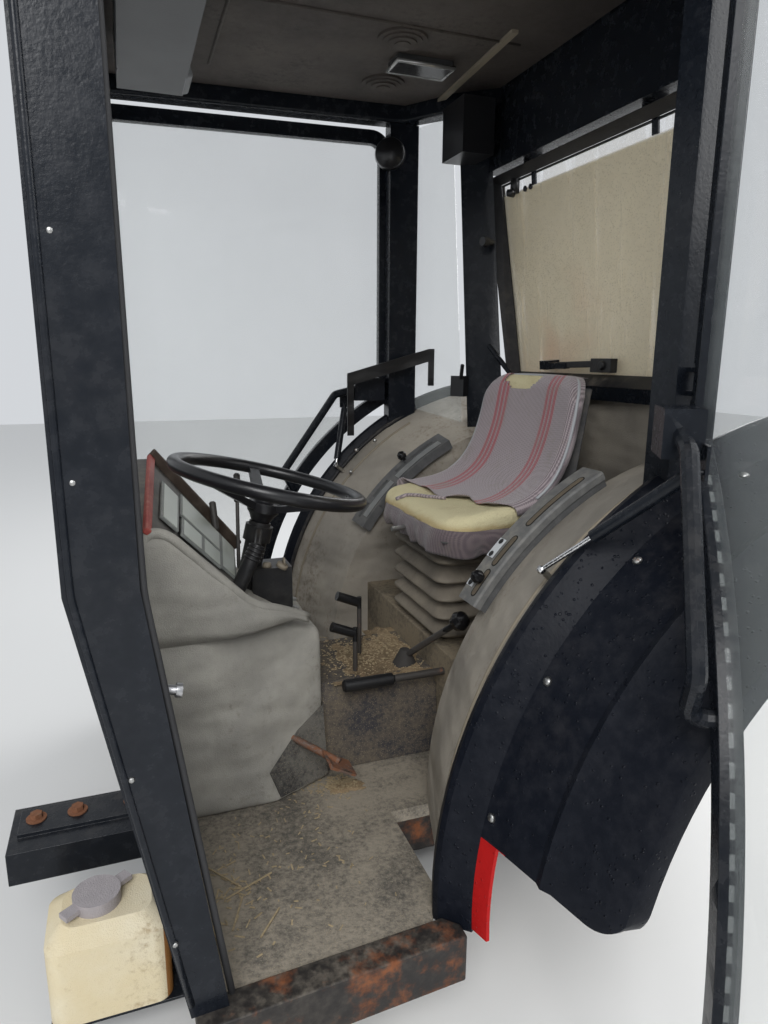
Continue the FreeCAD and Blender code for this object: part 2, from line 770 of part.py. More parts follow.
def build_roof_frame():
    front = size.a_post_x + size.a_post_wide / 2
    wide = size.rail_wide
    outer = [(front, size.a_post_y + 28), (size.b_post_x, size.b_post_y + 28),
             (size.c_top_front_x - 20, size.c_top_front_y + 30), (size.c_top_rear_x - 50,
                                                                  size.c_top_rear_y),
             (size.c_top_rear_x - 50, -size.c_top_rear_y), (size.c_top_front_x - 20,
                                                            -size.c_top_front_y - 30),
             (size.b_post_x, -size.b_post_y - 28), (front, -size.a_post_y - 28)]
    inner = [(front - wide - 30, size.a_post_y + 28 - wide), (size.b_post_x + 10,
                                                              size.b_post_y + 28 - wide),
             (size.c_top_front_x + 25, size.c_top_front_y - 30), (size.c_top_rear_x,
                                                                  size.c_top_rear_y - 60),
             (size.c_top_rear_x, -size.c_top_rear_y + 60), (size.c_top_front_x + 25,
                                                            -size.c_top_front_y + 30),
             (size.b_post_x + 10, -size.b_post_y - 28 + wide), (front - wide - 30,
                                                                -size.a_post_y - 28 + wide)]
    ring = plate("roof_ring", "XY", [outer, inner], size.rail_high, middle=False)
    node(place(ring, (0, 0, size.rail_bottom)), "roof_frame")


def build_rear_frame(trim):
    parts = []
    for name, side in SIDES:
        thick = size.c_post_thick / 2
        ends = []
        for level in ("low", "top"):
            front_x = getattr(size, f"c_{level}_front_x")
            front_y = getattr(size, f"c_{level}_front_y")
            rear_x = getattr(size, f"c_{level}_rear_x")
            rear_y = getattr(size, f"c_{level}_rear_y")
            ends.append([(front_x + thick / 2, (front_y - thick) * side),
                         (rear_x + thick / 2, (rear_y - thick) * side),
                         (rear_x - thick / 2, (rear_y + thick) * side),
                         (front_x - thick / 2, (front_y + thick) * side)])
        parts.append(prism(f"c_post_{name}", size.axle_z + size.arch_inner_r - 60, ends[0],
                           size.rail_bottom, ends[1]))
    header_rear = size.c_top_rear_x - 30
    parts.append(box("rear_header", (header_rear, -size.c_top_rear_y, size.window_top_z + 14),
                     (size.c_top_rear_x + 12, size.c_top_rear_y, size.rail_bottom)))
    sill_x = size.rear_wall_x + size.rear_wall_thick
    sill_z = size.window_bottom_z - 10
    parts.append(box("rear_sill", (sill_x + 2, -size.c_low_rear_y - 4, sill_z - 34),
                     (sill_x + 22, size.c_low_rear_y + 4, sill_z)))
    for name, side in SIDES:
        parts.append(rod(f"corner_brace_{name}", (size.c_low_front_x - 40,
                                                  (size.c_low_front_y - 48) * side, sill_z + 110),
                         (sill_x + 12, (size.c_low_rear_y - 64) * side, sill_z - 8), 8))
    x = size.window_hinge_x
    z = size.window_top_z
    for name, side in SIDES:
        y = size.window_hinge_y * side
        parts.append(rod(f"window_pin_{name}", (x, y - 22, z), (x, y + 22, z), 5))
        for tag, end in (("out", 1), ("in", -1)):
            near = y + 16 * end - 5
            parts.append(box(f"window_arm_{name}_{tag}", (x - 8, near, z - 6),
                             (header_rear + 10, near + 10, z + 22)))
    pin_x = x + size.rear_pin_ahead
    pin_z = z - size.rear_pin_down
    parts.append(rod("rear_strut_stud", (pin_x, size.rear_pin_y + 5.3, pin_z),
                     (pin_x, size.rear_pin_y + 34, pin_z), 4))
    return node(cut("rear_frame_trimmed", joined("rear_frame_blank", parts), trim), "rear_frame")


def build_rear_wall():
    skin = size.sheet
    low = size.floor_top
    top = size.window_bottom_z - 8
    outline = [(-size.arch_wall_y + skin, low), (size.arch_wall_y - skin, low),
               (size.arch_wall_y - skin, size.axle_z + size.arch_inner_r),
               (size.c_low_rear_y + 60, top), (-size.c_low_rear_y - 60, top),
               (-size.arch_wall_y + skin, size.axle_z + size.arch_inner_r)]
    wall = plate("rear_wall_body", "YZ", [outline], size.rear_wall_thick, middle=False)
    node(place(wall, (size.rear_wall_x, 0, 0)), "rear_wall")


def build_roof(rear_frame):
    over = size.roof_overhang
    front = size.a_post_x + size.a_post_wide / 2 + over
    rear = size.c_top_rear_x - 50 - over
    base = size.rail_bottom + size.rail_high
    low = [(front, size.a_post_y + over), (size.b_post_x, size.b_post_y + over + 10),
           (rear, size.c_top_rear_y + 20), (rear, -size.c_top_rear_y - 20),
           (size.b_post_x, -size.b_post_y - over - 10), (front, -size.a_post_y - over)]
    shrink = 90
    high = [(front - shrink, size.a_post_y + over - shrink), (size.b_post_x,
                                                              size.b_post_y + over + 10 - shrink),
            (rear + shrink, size.c_top_rear_y + 20 - shrink), (rear + shrink,
                                                               -size.c_top_rear_y - 20 + shrink),
            (size.b_post_x, -size.b_post_y - over - 10 + shrink), (front - shrink,
                                                                   -size.a_post_y - over + shrink)]
    skirt = place(plate("roof_skirt_body", "XY", [low], size.roof_skirt, middle=False), (0, 0, base))
    cap = prism("roof_cap", base + size.roof_skirt, low, base + size.roof_high, high)
    node(joined("roof_body", [skirt, cap]), "roof_shell")
    inset = size.rail_wide + 12
    liner = [(size.a_post_x - 60, size.a_post_y + 28 - inset),
             (size.b_post_x + 12, size.b_post_y + 28 - inset),
             (size.c_top_front_x + 30, size.c_top_front_y - 40), (size.c_top_rear_x + 6,
                                                                  size.c_top_rear_y - 70),
             (size.c_top_rear_x + 6, -size.c_top_rear_y + 70), (size.c_top_front_x + 30,
                                                                -size.c_top_front_y + 40),
             (size.b_post_x + 12, -size.b_post_y - 28 + inset), (size.a_post_x - 60,
                                                                 -size.a_post_y - 28 + inset)]
    cloth = plate("headliner_body", "XY", [liner], size.headliner_thick, middle=False)
    ceiling = base - size.headliner_thick
    node(place(cloth, (0, 0, ceiling)), "headliner")
    node(box("lamp_body", (-330, -330, ceiling - 22), (-170, -250, ceiling)), "cab_lamp")
    front_box = box("visor_box", (360, -420, base - 130), (520, 420, ceiling))
    corner = box("corner_block", (-500, -470, size.rail_bottom - 150), (-400, -330, size.rail_bottom))
    node(together("roof_box_pair", [front_box, cut("corner_box", corner, rear_frame)]), "roof_boxes")


# Glass that doesn't open
def build_fixed_glass(trim):
    half = size.a_post_y - size.post_thick / 2 - 0.5
    screen = [(-half, size.panel_top_z + 30), (half, size.panel_top_z + 30), (half, size.rail_bottom),
              (-half, size.rail_bottom)]
    glass = plate("windscreen_body", "YZ", [screen], size.glass_thick)
    node(place(glass, (size.a_post_x, 0, 0)), "windscreen")
    panes = []
    rear_b = size.b_post_x - size.b_post_wide / 2 - 3
    for name, side in SIDES:
        ends = []
        for level in ("low", "top"):
            front_x = getattr(size, f"c_{level}_front_x")
            front_y = getattr(size, f"c_{level}_front_y")
            ends.append([(rear_b, (size.b_post_y + 12) * side),
                         (rear_b, (size.b_post_y + 12 - size.glass_thick * 2) * side),
                         (front_x + 14, (front_y + 16) * side), (front_x + 6, (front_y + 28) * side)])
        pane = prism(f"quarter_{name}", size.axle_z + size.arch_inner_r - 60, ends[0], size.rail_bottom,
                     ends[1])
        panes.append(cut(f"quarter_trimmed_{name}", pane, trim))
    node(together("quarter_panes", panes), "quarter_glass")


# Front wall, dash cowl and instrument panel
def build_front(a_posts):
    thick = size.front_wall_thick
    outline = [(size.floor_front_x - thick, size.floor_top), (size.floor_front_x, size.floor_top),
               (size.a_post_x, size.kink_z), (size.a_post_x + thick / 2, size.panel_top_z + 30),
               (size.a_post_x - thick / 2, size.panel_top_z + 30), (size.a_post_x - thick, size.kink_z)]
    wall = plate("front_wall_body", "XZ", [outline], size.a_post_y * 2 - size.post_thick)
    x = size.floor_front_x
    y = size.bottle_y
    half = size.bottle_wide / 2
    shelf_z = size.bottle_z - size.sheet
    leg = box("bottle_leg", (x, y - half, shelf_z), (x + size.sheet, y + half, size.floor_top + 30))
    shelf = box("bottle_shelf", (x, y - half, shelf_z),
                (size.bottle_x + size.bottle_long / 2, y + half, size.bottle_z))
    bracket = box("front_bracket", (x + 2, y - half - 200, size.floor_top),
                  (x + 300, y - half - 55, size.floor_top + 66))
    flange = box("bracket_flange", (x + 2, y - half - 180, size.floor_top + 66),
                 (x + 285, y - half - 100, size.floor_top + 74))
    fitted = cut("front_wall_fitted", wall, a_posts)
    node(joined("front_wall_blank", [fitted, leg, shelf, bracket, flange]), "front_wall")
    slope = (size.a_post_x - size.floor_front_x) / (size.kink_z - size.floor_top)
    back_low = size.floor_front_x - thick
    back_mid = size.floor_front_x - thick + slope * (size.cowl_top_z - size.floor_top)
    corner = size.cowl_rear_x + size.cowl_corner_long
    inset = (size.cowl_half - size.cowl_top_half) * size.cowl_corner_long / size.cowl_corner_wide
    high_corner = size.cowl_rear_x + inset
    low = [(back_low - 1, size.cowl_half), (corner, size.cowl_half),
           (size.cowl_rear_x, size.cowl_half - size.cowl_corner_wide)]
    high = [(back_mid - 1, size.cowl_half), (high_corner, size.cowl_half),
            (size.cowl_rear_x, size.cowl_top_half)]
    low = low + [(u, -v) for u, v in reversed(low)]
    high = high + [(u, -v) for u, v in reversed(high)]
    blank = prism("cowl_blank", size.floor_top, low, size.cowl_top_z, high)
    near = size.cowl_rear_x + 175
    rear = size.cowl_rear_x
    profile = [(back_mid, size.floor_top), (back_mid, size.cowl_top_z), (near, size.cowl_top_z),
               (near - 85, size.cowl_rear_z + 26), (rear + 24, size.cowl_rear_z, 24),
               (rear, size.cowl_rear_z - 24),
               (rear, size.floor_top)]
    shape = plate("cowl_profile", "XZ", [profile], size.cowl_half * 2 + 10)
    cowl = node(common("cowl_body", blank, shape), "dash_cowl")
    rise = size.panel_top_z - size.cowl_top_z
    far = back_mid - 1
    top_x = far + slope * rise
    panel = [(near, size.cowl_top_z), (far, size.cowl_top_z), (top_x, size.panel_top_z),
             (top_x - 66, size.panel_top_z), (top_x - 66, size.panel_top_z - 14), (top_x - 52,
                                                                                   size.panel_top_z - 16)]
    face = plate("panel_body", "XZ", [panel], size.cowl_half * 2)
    narrow = size.cowl_top_half + 175 * size.cowl_corner_wide / size.cowl_corner_long
    plan = [(near - 1, narrow), (high_corner, size.cowl_half), (top_x, size.cowl_half)]
    plan = plan + [(u, -v) for u, v in reversed(plan)]
    block = place(plate("panel_plan", "XY", [plan], rise, middle=False), (0, 0, size.cowl_top_z))
    panel_body = node(common("panel_trimmed", face, block), "instrument_panel")
    return together("dash_solids", [cowl, panel_body])


# Steering
def wheel_point(along, across=0):
    """A point up the steering axis from the rim's middle."""
    lean = size.wheel_lean_deg
    return (size.wheel_x - sine(lean) * along, across, size.wheel_z + cosine(lean) * along)


def build_steering(dash):
    lean = size.wheel_lean_deg
    section = [(size.wheel_r + cosine(36 * i) * size.wheel_rim_r,
                sine(36 * i) * size.wheel_rim_r) for i in range(10)]
    dish = size.wheel_dish
    hub = [(0, -dish - 38), (22, -dish - 38), (30, -dish - 22), (size.hub_r, -dish - 12),
           (size.hub_r, -dish + 10),
           (28, -dish + 14), (28, -dish + 26), (24, -dish + 30), (0, -dish + 30)]
    parts = [turned("wheel_rim", section), turned("wheel_hub", hub)]
    bar = [(24, -dish - 12), (size.wheel_r - 5, -8), (size.wheel_r - 5, 6), (size.hub_r, -dish + 10),
           (24, -dish + 10)]
    for index, degrees in enumerate((30, 150, 270)):
        parts.append(place(plate(f"wheel_spoke_{index}", "XZ", [bar], size.spoke_wide), (0, 0, 0),
                           (0, 0, 1), degrees))
    wheel = joined("wheel_body", parts)
    place(wheel, (size.wheel_x, 0, size.wheel_z), (0, 1, 0), -lean)
    node(wheel, "steering_wheel")
    top = wheel_point(-dish - 38.3)
    bottom = wheel_point(-(size.wheel_z - size.cowl_top_z + 60) / cosine(lean))
    tube = rod("column_tube", bottom, top, size.column_r)
    collar = rod("column_collar", wheel_point(-dish - 84), wheel_point(-dish - 46), size.column_r + 7)
    bar = rod("shuttle_bar", wheel_point(-112), (300, 128, 752), 8)
    grip = rod("shuttle_grip", (298, 128, 756), (350, 138, 657), 17)
    switches = box("switch_housing", (205, -36, size.cowl_rear_z), (300, 48, size.cowl_top_z + 34))
    node(cut("column_seated", joined("column_body", [tube, collar, bar, grip, switches]), dash),
         "steering_column")


# Seat
def build_seat():
    front = size.seat_front_x
    pan = size.seat_pan_z
    pad = size.seat_pad_thick
    back = size.seat_back_x
    top = size.seat_back_top
    lean = 32
    cushion = [(front, pan), (front, pan + pad), (back + 70, pan + pad + 6, -80), (back, pan + pad + 86),
               (back - lean, top), (back - lean - pad + 8, top), (back - pad, pan + 60), (back - pad + 50,
                                                                                          pan)]
    body = plate("cushion_body", "XZ", [cushion], size.seat_half * 2)
    node(body, "seat_cushion")
    gap = 0.3
    skin = size.sheet
    shell = [(front - 12, pan - gap), (back - pad + 50, pan - gap), (back - pad - gap, pan + 60),
             (back - lean - pad + 8 - gap, top - 25), (back - lean - pad + 8 - gap - skin, top - 25),
             (back - pad - gap - skin, pan + 60), (back - pad + 50, pan - gap - skin), (front - 12,
                                                                                        pan - gap - skin)]
    pan_body = plate("seat_shell_body", "XZ", [shell], size.seat_half * 2 - 30)
    node(pan_body, "seat_shell")
    middle = (front + back) / 2 - 10
    folds = []
    levels = 4
    rise = (pan - gap - skin - size.deck_top) / levels
    for index in range(levels):
        bottom = size.deck_top + rise * index
        crease = bottom + rise * 0.45
        wide = rectangle(size.bellows_half_x, size.bellows_half_y, middle)
        slim = rectangle(size.bellows_half_x - 24, size.bellows_half_y - 24, middle)
        folds.append(prism(f"fold_low_{index}", bottom, slim, crease, wide))
        folds.append(prism(f"fold_high_{index}", crease, wide, bottom + rise, slim))
    node(joined("bellows_body", folds), "seat_suspension")


# Side consoles and levers
def build_consoles():
    """Lever gates that follow the shoulder of each wheel arch."""
    strips = []
    gap = size.seat_gap
    near = size.arch_wall_y - 28
    far = size.arch_wall_y + 40
    wall = size.arch_wall_y - size.sheet
    section = [(size.arch_inner_r + gap, near), (size.arch_inner_r + gap, wall),
               (arch_skin_r(far) + gap, far),
               (arch_skin_r(far) + 30, far), (size.arch_inner_r + 28, near)]
    slot_y = size.arch_wall_y + 16
    slot = [(size.arch_inner_r + 12, slot_y - 6), (size.arch_inner_r + 12, slot_y + 6),
            (size.arch_inner_r + 60, slot_y + 6), (size.arch_inner_r + 60, slot_y - 6)]
    slots = (("front", 34.6, 38.6), ("middle", 40.4, 45.6), ("rear", 48.5, 60.0))
    for name, side in SIDES:
        strip = swung(f"console_body_{name}", section, side, 33, 63)
        channels = [swung(f"slot_{tag}_{name}", slot, side, low, high) for tag, low, high in slots]
        strip = cut(f"console_slotted_{name}", strip, together(f"slots_{name}", channels))
        lean = 37.2 if side == LEFT else 52.0
        ends = [(size.axle_x + cosine(lean) * r, slot_y * side, size.axle_z + sine(lean) * r)
                for r in (size.arch_inner_r + 11, size.arch_inner_r + 64)]
        lever = spindle(f"console_lever_{name}", ends[0], ends[1], 5, knob_r=15)
        strips.append(joined(f"console_{name}", [strip, lever]))
    node(together("console_pair", strips), "consoles")


def build_levers(dash_solids):
    top = size.tunnel_top
    boot = doc.addObject("Part::Cone", "gear_boot")
    bind(boot, "Radius1", 32)
    bind(boot, "Radius2", 12)
    bind(boot, "Height", 40)
    place(boot, (-72, 90, top))
    gear = joined("gear_lever", [
        boot, spindle("gear_rod", (-72, 90, top + 20), (-150, 240, top + 160), 8, knob_r=24)])
    front = size.deck_front_x + size.seat_gap
    brake = spindle("parking_brake", (front, 200, top + 20), (125, 200, top + 20), 9, grip_r=15,
                    grip_long=125)
    small = []
    for index, (x, y, z) in enumerate(((20, 0, 560), (60, 90, 515))):
        small.append(joined(f"small_lever_{index}", [
            round_bar(f"small_stem_{index}", 6, z - top, (x, y, top)),
            rod(f"small_grip_{index}", (x + 4, y, z - 14), (x + 60, y, z + 10), 12)]))
    dash = []
    for index, (low, high) in enumerate((((300, -175, 590), (283, -262, 856)),
                                         ((345, -175, 610), (354, -235, 788)))):
        lever = spindle(f"dash_lever_{index}", low, high, 5, grip_r=9, grip_long=80)
        dash.append(cut(f"dash_lever_seated_{index}", lever, dash_solids))
    node(together("lever_set", [gear, brake] + small + dash), "hand_levers")


def build_pedals(dash):
    """Clutch pedal on the left and two brake pedals on the right, their arms ending at the cowl."""
    pad = [(-30, -16), (-26, -19), (30, 10), (34, 24), (28, 24), (24, 14)]
    pads = []
    places = ((165, 305, 262, 212), (140, -238, 232, -196), (140, -306, 272, -216))
    for index, (x, y, arm_x, arm_y) in enumerate(places):
        pads.append(joined(f"pedal_{index}", [
            place(plate(f"pedal_pad_{index}", "XZ", [pad], 62), (x, y, 292)),
            rod(f"pedal_arm_{index}", (x, y, 296), (arm_x, arm_y, 330), 8)]))
    node(cut("pedal_seated", together("pedal_set", pads), dash), "pedals")


def build_bottle():
    x, y, z = size.bottle_x, size.bottle_y, size.bottle_z
    bend = size.bottle_corner_r
    rings = []
    for inset in (as_size(0), size.bottle_slope):
        long = size.bottle_long / 2 - inset
        wide = size.bottle_wide / 2 - inset
        rings.append([(long - bend, -wide, bend), (long, -wide + bend), (long, wide - bend, bend),
                      (long - bend, wide), (-long + bend, wide, bend), (-long, wide - bend),
                      (-long, -wide + bend, bend), (-long + bend, -wide)])
    shoulder = size.bottle_high - size.bottle_slope
    base = place(plate("bottle_base", "XY", [rings[0]], shoulder, middle=False), (x, y, z))
    top = place(prism("bottle_shoulder", shoulder, rings[0], size.bottle_high, rings[1]), (x, y, z))
    cap = round_bar("bottle_cap", 40, 22, (x + 16, y, z + size.bottle_high))
    tab = place(plate("bottle_tab", "XY", [rectangle(64, 11)], 9, middle=False),
                (x + 16, y, z + size.bottle_high + 8), (0, 0, 1), 35)
    node(joined("bottle_body", [base, top, cap, tab]), "washer_bottle")


# Doors: drawn closed in their own frame, from the hinge line forward
def door_outlines():
    gap = size.door_hinge_gap
    centre_u = size.axle_x - size.b_post_x - size.hinge_ahead
    rows = []
    for inset in (as_size(0), size.door_frame_wide):
        reach = size.flange_r + size.door_arch_gap + inset
        near = gap + inset
        top = size.door_top - inset
        bottom = size.door_bottom + inset
        bend = size.door_corner_r - inset
        far = size.door_long - inset
        foot = size.door_foot_long - inset
        foot_arch = centre_u + root(reach * reach - (size.axle_z - bottom) * (size.axle_z - bottom))
        hinge_z = size.axle_z + root(reach * reach - (near - centre_u) * (near - centre_u))
        rows.append([(near, hinge_z), (near, top - bend, -bend), (near + bend, top),
                     (far - bend, top, -bend),
                     (far, top - bend), (far, size.kink_z), (foot, bottom), (foot_arch, bottom, reach)])
    return rows


def door_knuckles(name):
    """Pockets in the door's rear edge, and the knuckle with its arm in each."""
    pockets = []
    arms = []
    bores = []
    high = size.hinge_knuckle_high
    thick = size.door_thick
    for tag, level in hinge_levels():
        room = high / 2 + size.hinge_plate + 6
        pockets.append(box(f"pocket_{tag}_{name}", (-5, -thick, level - room), (17, thick, level + room)))
        arms.append(round_bar(f"knuckle_{tag}_{name}", 11, high, (0, 0, level - high / 2)))
        arms.append(box(f"knuckle_arm_{tag}_{name}", (0, -8, level - high / 2), (24, 8, level + high / 2)))
        bores.append(round_bar(f"knuckle_bore_{tag}_{name}", size.hinge_pin_r + size.hinge_play, high + 2,
                               (0, 0, level - high / 2 - 1)))
    return (together(f"pockets_{name}", pockets), arms, together(f"bores_{name}", bores))


def build_door(name, side, open_degrees):
    turn = (door_slope() + open_degrees) * side
    x, y = hinge_line(side)
    hinge = (x, y, 0)
    outer, inner = door_outlines()
    ring = plate(f"door_ring_{name}", "XZ", [outer, inner], size.door_thick)
    pockets, arms, bores = door_knuckles(name)
    notched = cut(f"door_notched_{name}", ring, pockets)
    frame = cut(f"door_bored_{name}", joined(f"door_armed_{name}", [notched] + arms), bores)
    node(place(frame, hinge, (0, 0, 1), turn), f"{name}_door_frame")
    pane = plate(f"door_glass_body_{name}", "XZ", [inner], size.glass_thick)
    node(place(pane, hinge, (0, 0, 1), turn), f"{name}_door_glass")
    back = size.door_thick.value / 2 * -side
    deep = size.lock_deep.value * -side
    crest = flange_top()
    lock_low = crest - size.lock_drop
    lock = box(f"door_box_{name}", (46, min(back, back + deep), lock_low),
               (150, max(back, back + deep), lock_low + size.lock_high))
    middle = back + deep * 0.55
    landing_u = 360
    reach = size.flange_r + size.door_arch_gap + size.door_frame_wide / 2
    across = landing_u - (size.axle_x - size.b_post_x - size.hinge_ahead)
    landing = size.axle_z + root(reach * reach - across * across)
    run = [(140, middle, crest - 30), (214, middle, crest - 48), (394, middle, landing + 70),
           (landing_u, middle, landing), (landing_u, back, landing)]
    tube = bent_tube(f"door_tube_{name}", run, size.rail_r, 22)
    pin_u = size.strut_pin_u
    pin_z = crest - size.strut_pin_drop
    lug_in = size.door_thick / 2 + 4.7
    low_v, high_v = sorted((back, (lug_in * -side).value))
    lug = box(f"strut_lug_{name}", (140, low_v, pin_z - 12), (pin_u + 15, high_v, pin_z + 40))
    stud = rod(f"strut_pin_{name}", (pin_u, lug_in * -side, pin_z),
               (pin_u, (size.strut_pin_in - 6.05 - size.seat_gap) * -side, pin_z), 4)
    rail = joined(f"door_rail_body_{name}", [lock, tube, lug, stud])
    node(place(rail, hinge, (0, 0, 1), turn), f"{name}_door_rail")


def strut_ends(side, open_degrees):
    """Pin on the door and ball on the arch lining, in the assembly's frame."""
    x, y = hinge_line(side)
    hinge = Vector(x.value, y.value, 0)
    pin = Vector(size.strut_pin_u.value, -size.strut_pin_in.value * side,
                 (flange_top() - size.strut_pin_drop).value)
    eye = Vector(*[c.value for c in strut_eye(side)])
    return hinge + Rotation(Vector(0, 0, 1), (door_slope() + open_degrees) * side).multVec(pin), eye


def gas_strut(name, pin, eye, tube_long, rod_long, tube_r, rod_r):
    """Barrel with its pin eye, bored for the rod, and the rod with its ball socket."""
    run = (eye - pin).normalize()
    start = 14
    shank_r = tube_r * 0.55
    mouth = start + tube_long
    bore_r = rod_r + 0.4
    barrel = turned(f"{name}_barrel", [(0, 0), (shank_r, 0), (shank_r, start - 2), (tube_r, start),
                                       (tube_r, mouth),
                                       (bore_r, mouth), (bore_r, start + 12), (0, start + 12)])
    barrel.Placement = Placement(pin, Rotation(Vector(0, 0, 1), run))
    node(barrel, f"{name}_tube")
    node(spindle(f"{name}_bar", eye - run * rod_long, eye, rod_r, knob_r=size.strut_ball_r), f"{name}_rod")


def build_struts():
    for name, side, opened in (("left", LEFT, size.door_open_deg.value), ("right", RIGHT, 0.0)):
        pin, eye = strut_ends(side, opened)
        gas_strut(f"{name}_strut", pin, eye, size.strut_tube_long.value, size.strut_rod_long.value, 11, 4.5)


# Rear window, hung from its top edge and drawn about its hinge line
def build_rear_window():
    high = size.window_top_z - size.window_bottom_z
    top = 12
    face = size.glass_thick / 2
    pane = [(-size.window_top_half, -top), (-size.window_bottom_half, -high),
            (size.window_bottom_half, -high),
            (size.window_top_half, -top)]
    glass = plate("rear_glass_body", "YZ", [pane], size.glass_thick)
    hinge = (size.window_hinge_x, 0, size.window_top_z)
    node(place(glass, hinge, (0, 1, 0), size.window_lean_deg), "rear_window")
    fittings = [joined("handle_body", [
        box("handle_base", (face, -190, -high + 30), (45, -150, -high + 55)),
        box("handle_grip", (30, -150, -high + 34), (45, -60, -high + 50))])]
    for name, side in SIDES:
        y = size.window_hinge_y * side
        knuckle = rod(f"window_knuckle_{name}", (0, y - 10, 0), (0, y + 10, 0), 9)
        leaf = box(f"window_leaf_{name}", (face, y - 10, -48), (face + 5, y + 10, -2))
        bore = rod(f"window_bore_{name}", (0, y - 12, 0), (0, y + 12, 0), 5 + size.hinge_play)
        fittings.append(cut(f"window_hinge_{name}", joined(f"window_half_{name}", [knuckle, leaf]), bore))
    lean = size.window_lean_deg
    eye_y = size.rear_pin_y - 6
    fittings.append(rod("window_stud", (face, eye_y, -size.rear_eye_down),
                        (size.rear_eye_in - size.strut_ball_r - size.seat_gap, eye_y,
                         -size.rear_eye_down), 5))
    node(place(together("window_fittings", fittings), hinge, (0, 1, 0), lean), "rear_window_fittings")
    pin = Vector((size.window_hinge_x + size.rear_pin_ahead).value, size.rear_pin_y.value,
                 (size.window_top_z - size.rear_pin_down).value)
    spin = Rotation(Vector(0, 1, 0), lean.value)
    eye = Vector(size.window_hinge_x.value, 0, size.window_top_z.value) + spin.multVec(
        Vector(size.rear_eye_in.value, eye_y.value, -size.rear_eye_down.value))
    gas_strut("rear_strut", pin, eye, 150, 199, 9, 4)


trim = wheel_space()
build_subframe()
build_floor(trim)
build_arches(trim)
a_posts = build_posts(trim)
build_roof_frame()
rear_frame = build_rear_frame(trim)
build_rear_wall()
build_roof(rear_frame)
build_fixed_glass(trim)
dash = build_front(a_posts)
build_steering(dash)
build_seat()
build_consoles()
build_levers(dash)
build_pedals(dash)
build_bottle()
build_door("left", LEFT, size.door_open_deg.value)
build_door("right", RIGHT, 0.0)
build_struts()
build_rear_window()

doc.recompute()
for item in doc.Objects:
    if "Invalid" in item.State or "Error" in item.State:
        sys.exit(f"{item.Label} failed: {item.State}")
for item in nodes:
    if item.Shape.isNull() or not item.Shape.isValid():
        sys.exit(f"{item.Label} has no valid shape")

os.makedirs("parts", exist_ok=True)
for item in nodes:
    item.Shape.exportStep(f"parts/{item.Label}.step")
    bounds = item.Shape.BoundBox
    print(f"{item.Label:22s} solids {len(item.Shape.Solids)} volume {item.Shape.Volume / 1e6:9.2f} "
          f"x {bounds.XMin:7.1f} {bounds.XMax:7.1f} y {bounds.YMin:7.1f} {bounds.YMax:7.1f} "
          f"z {bounds.ZMin:7.1f} {bounds.ZMax:7.1f}")
print(len(nodes), "nodes")
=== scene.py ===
"""Dresses the cab of a farm tractor: worn paint, dusty vinyl, a torn seat cover, glass, rubber and straw."""
import logging
import math
import random
from collections.abc import Callable
from dataclasses import dataclass, field
from enum import Enum

import bmesh
import bpy
from mathutils import Matrix, Vector, noise
from mathutils.geometry import interpolate_bezier


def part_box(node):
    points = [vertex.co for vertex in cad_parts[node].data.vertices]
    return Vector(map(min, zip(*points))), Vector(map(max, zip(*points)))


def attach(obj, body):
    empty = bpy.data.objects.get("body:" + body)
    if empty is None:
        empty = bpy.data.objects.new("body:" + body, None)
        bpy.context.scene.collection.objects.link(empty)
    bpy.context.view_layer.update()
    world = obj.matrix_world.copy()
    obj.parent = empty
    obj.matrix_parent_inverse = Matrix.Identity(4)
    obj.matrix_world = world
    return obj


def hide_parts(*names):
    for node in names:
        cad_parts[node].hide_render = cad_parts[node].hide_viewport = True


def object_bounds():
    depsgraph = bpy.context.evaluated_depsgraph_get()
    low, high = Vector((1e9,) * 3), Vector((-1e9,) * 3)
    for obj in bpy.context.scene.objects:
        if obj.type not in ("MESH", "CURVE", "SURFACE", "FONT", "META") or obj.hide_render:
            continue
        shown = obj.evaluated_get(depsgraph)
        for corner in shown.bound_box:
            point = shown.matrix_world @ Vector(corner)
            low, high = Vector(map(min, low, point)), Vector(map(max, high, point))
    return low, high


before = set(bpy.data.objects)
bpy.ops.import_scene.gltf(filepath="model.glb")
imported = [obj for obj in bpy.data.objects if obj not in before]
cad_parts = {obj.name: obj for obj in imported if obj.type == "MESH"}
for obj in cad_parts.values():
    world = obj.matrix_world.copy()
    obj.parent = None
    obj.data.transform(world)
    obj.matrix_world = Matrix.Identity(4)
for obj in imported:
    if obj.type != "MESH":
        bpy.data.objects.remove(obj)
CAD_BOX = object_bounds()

LOG = logging.getLogger("cab")
Colour = tuple[float, float, float]
Point = tuple[float, float, float]


class Side(Enum):
    """Side of the cab, as the sign of its Y."""

    LEFT = 1
    RIGHT = -1


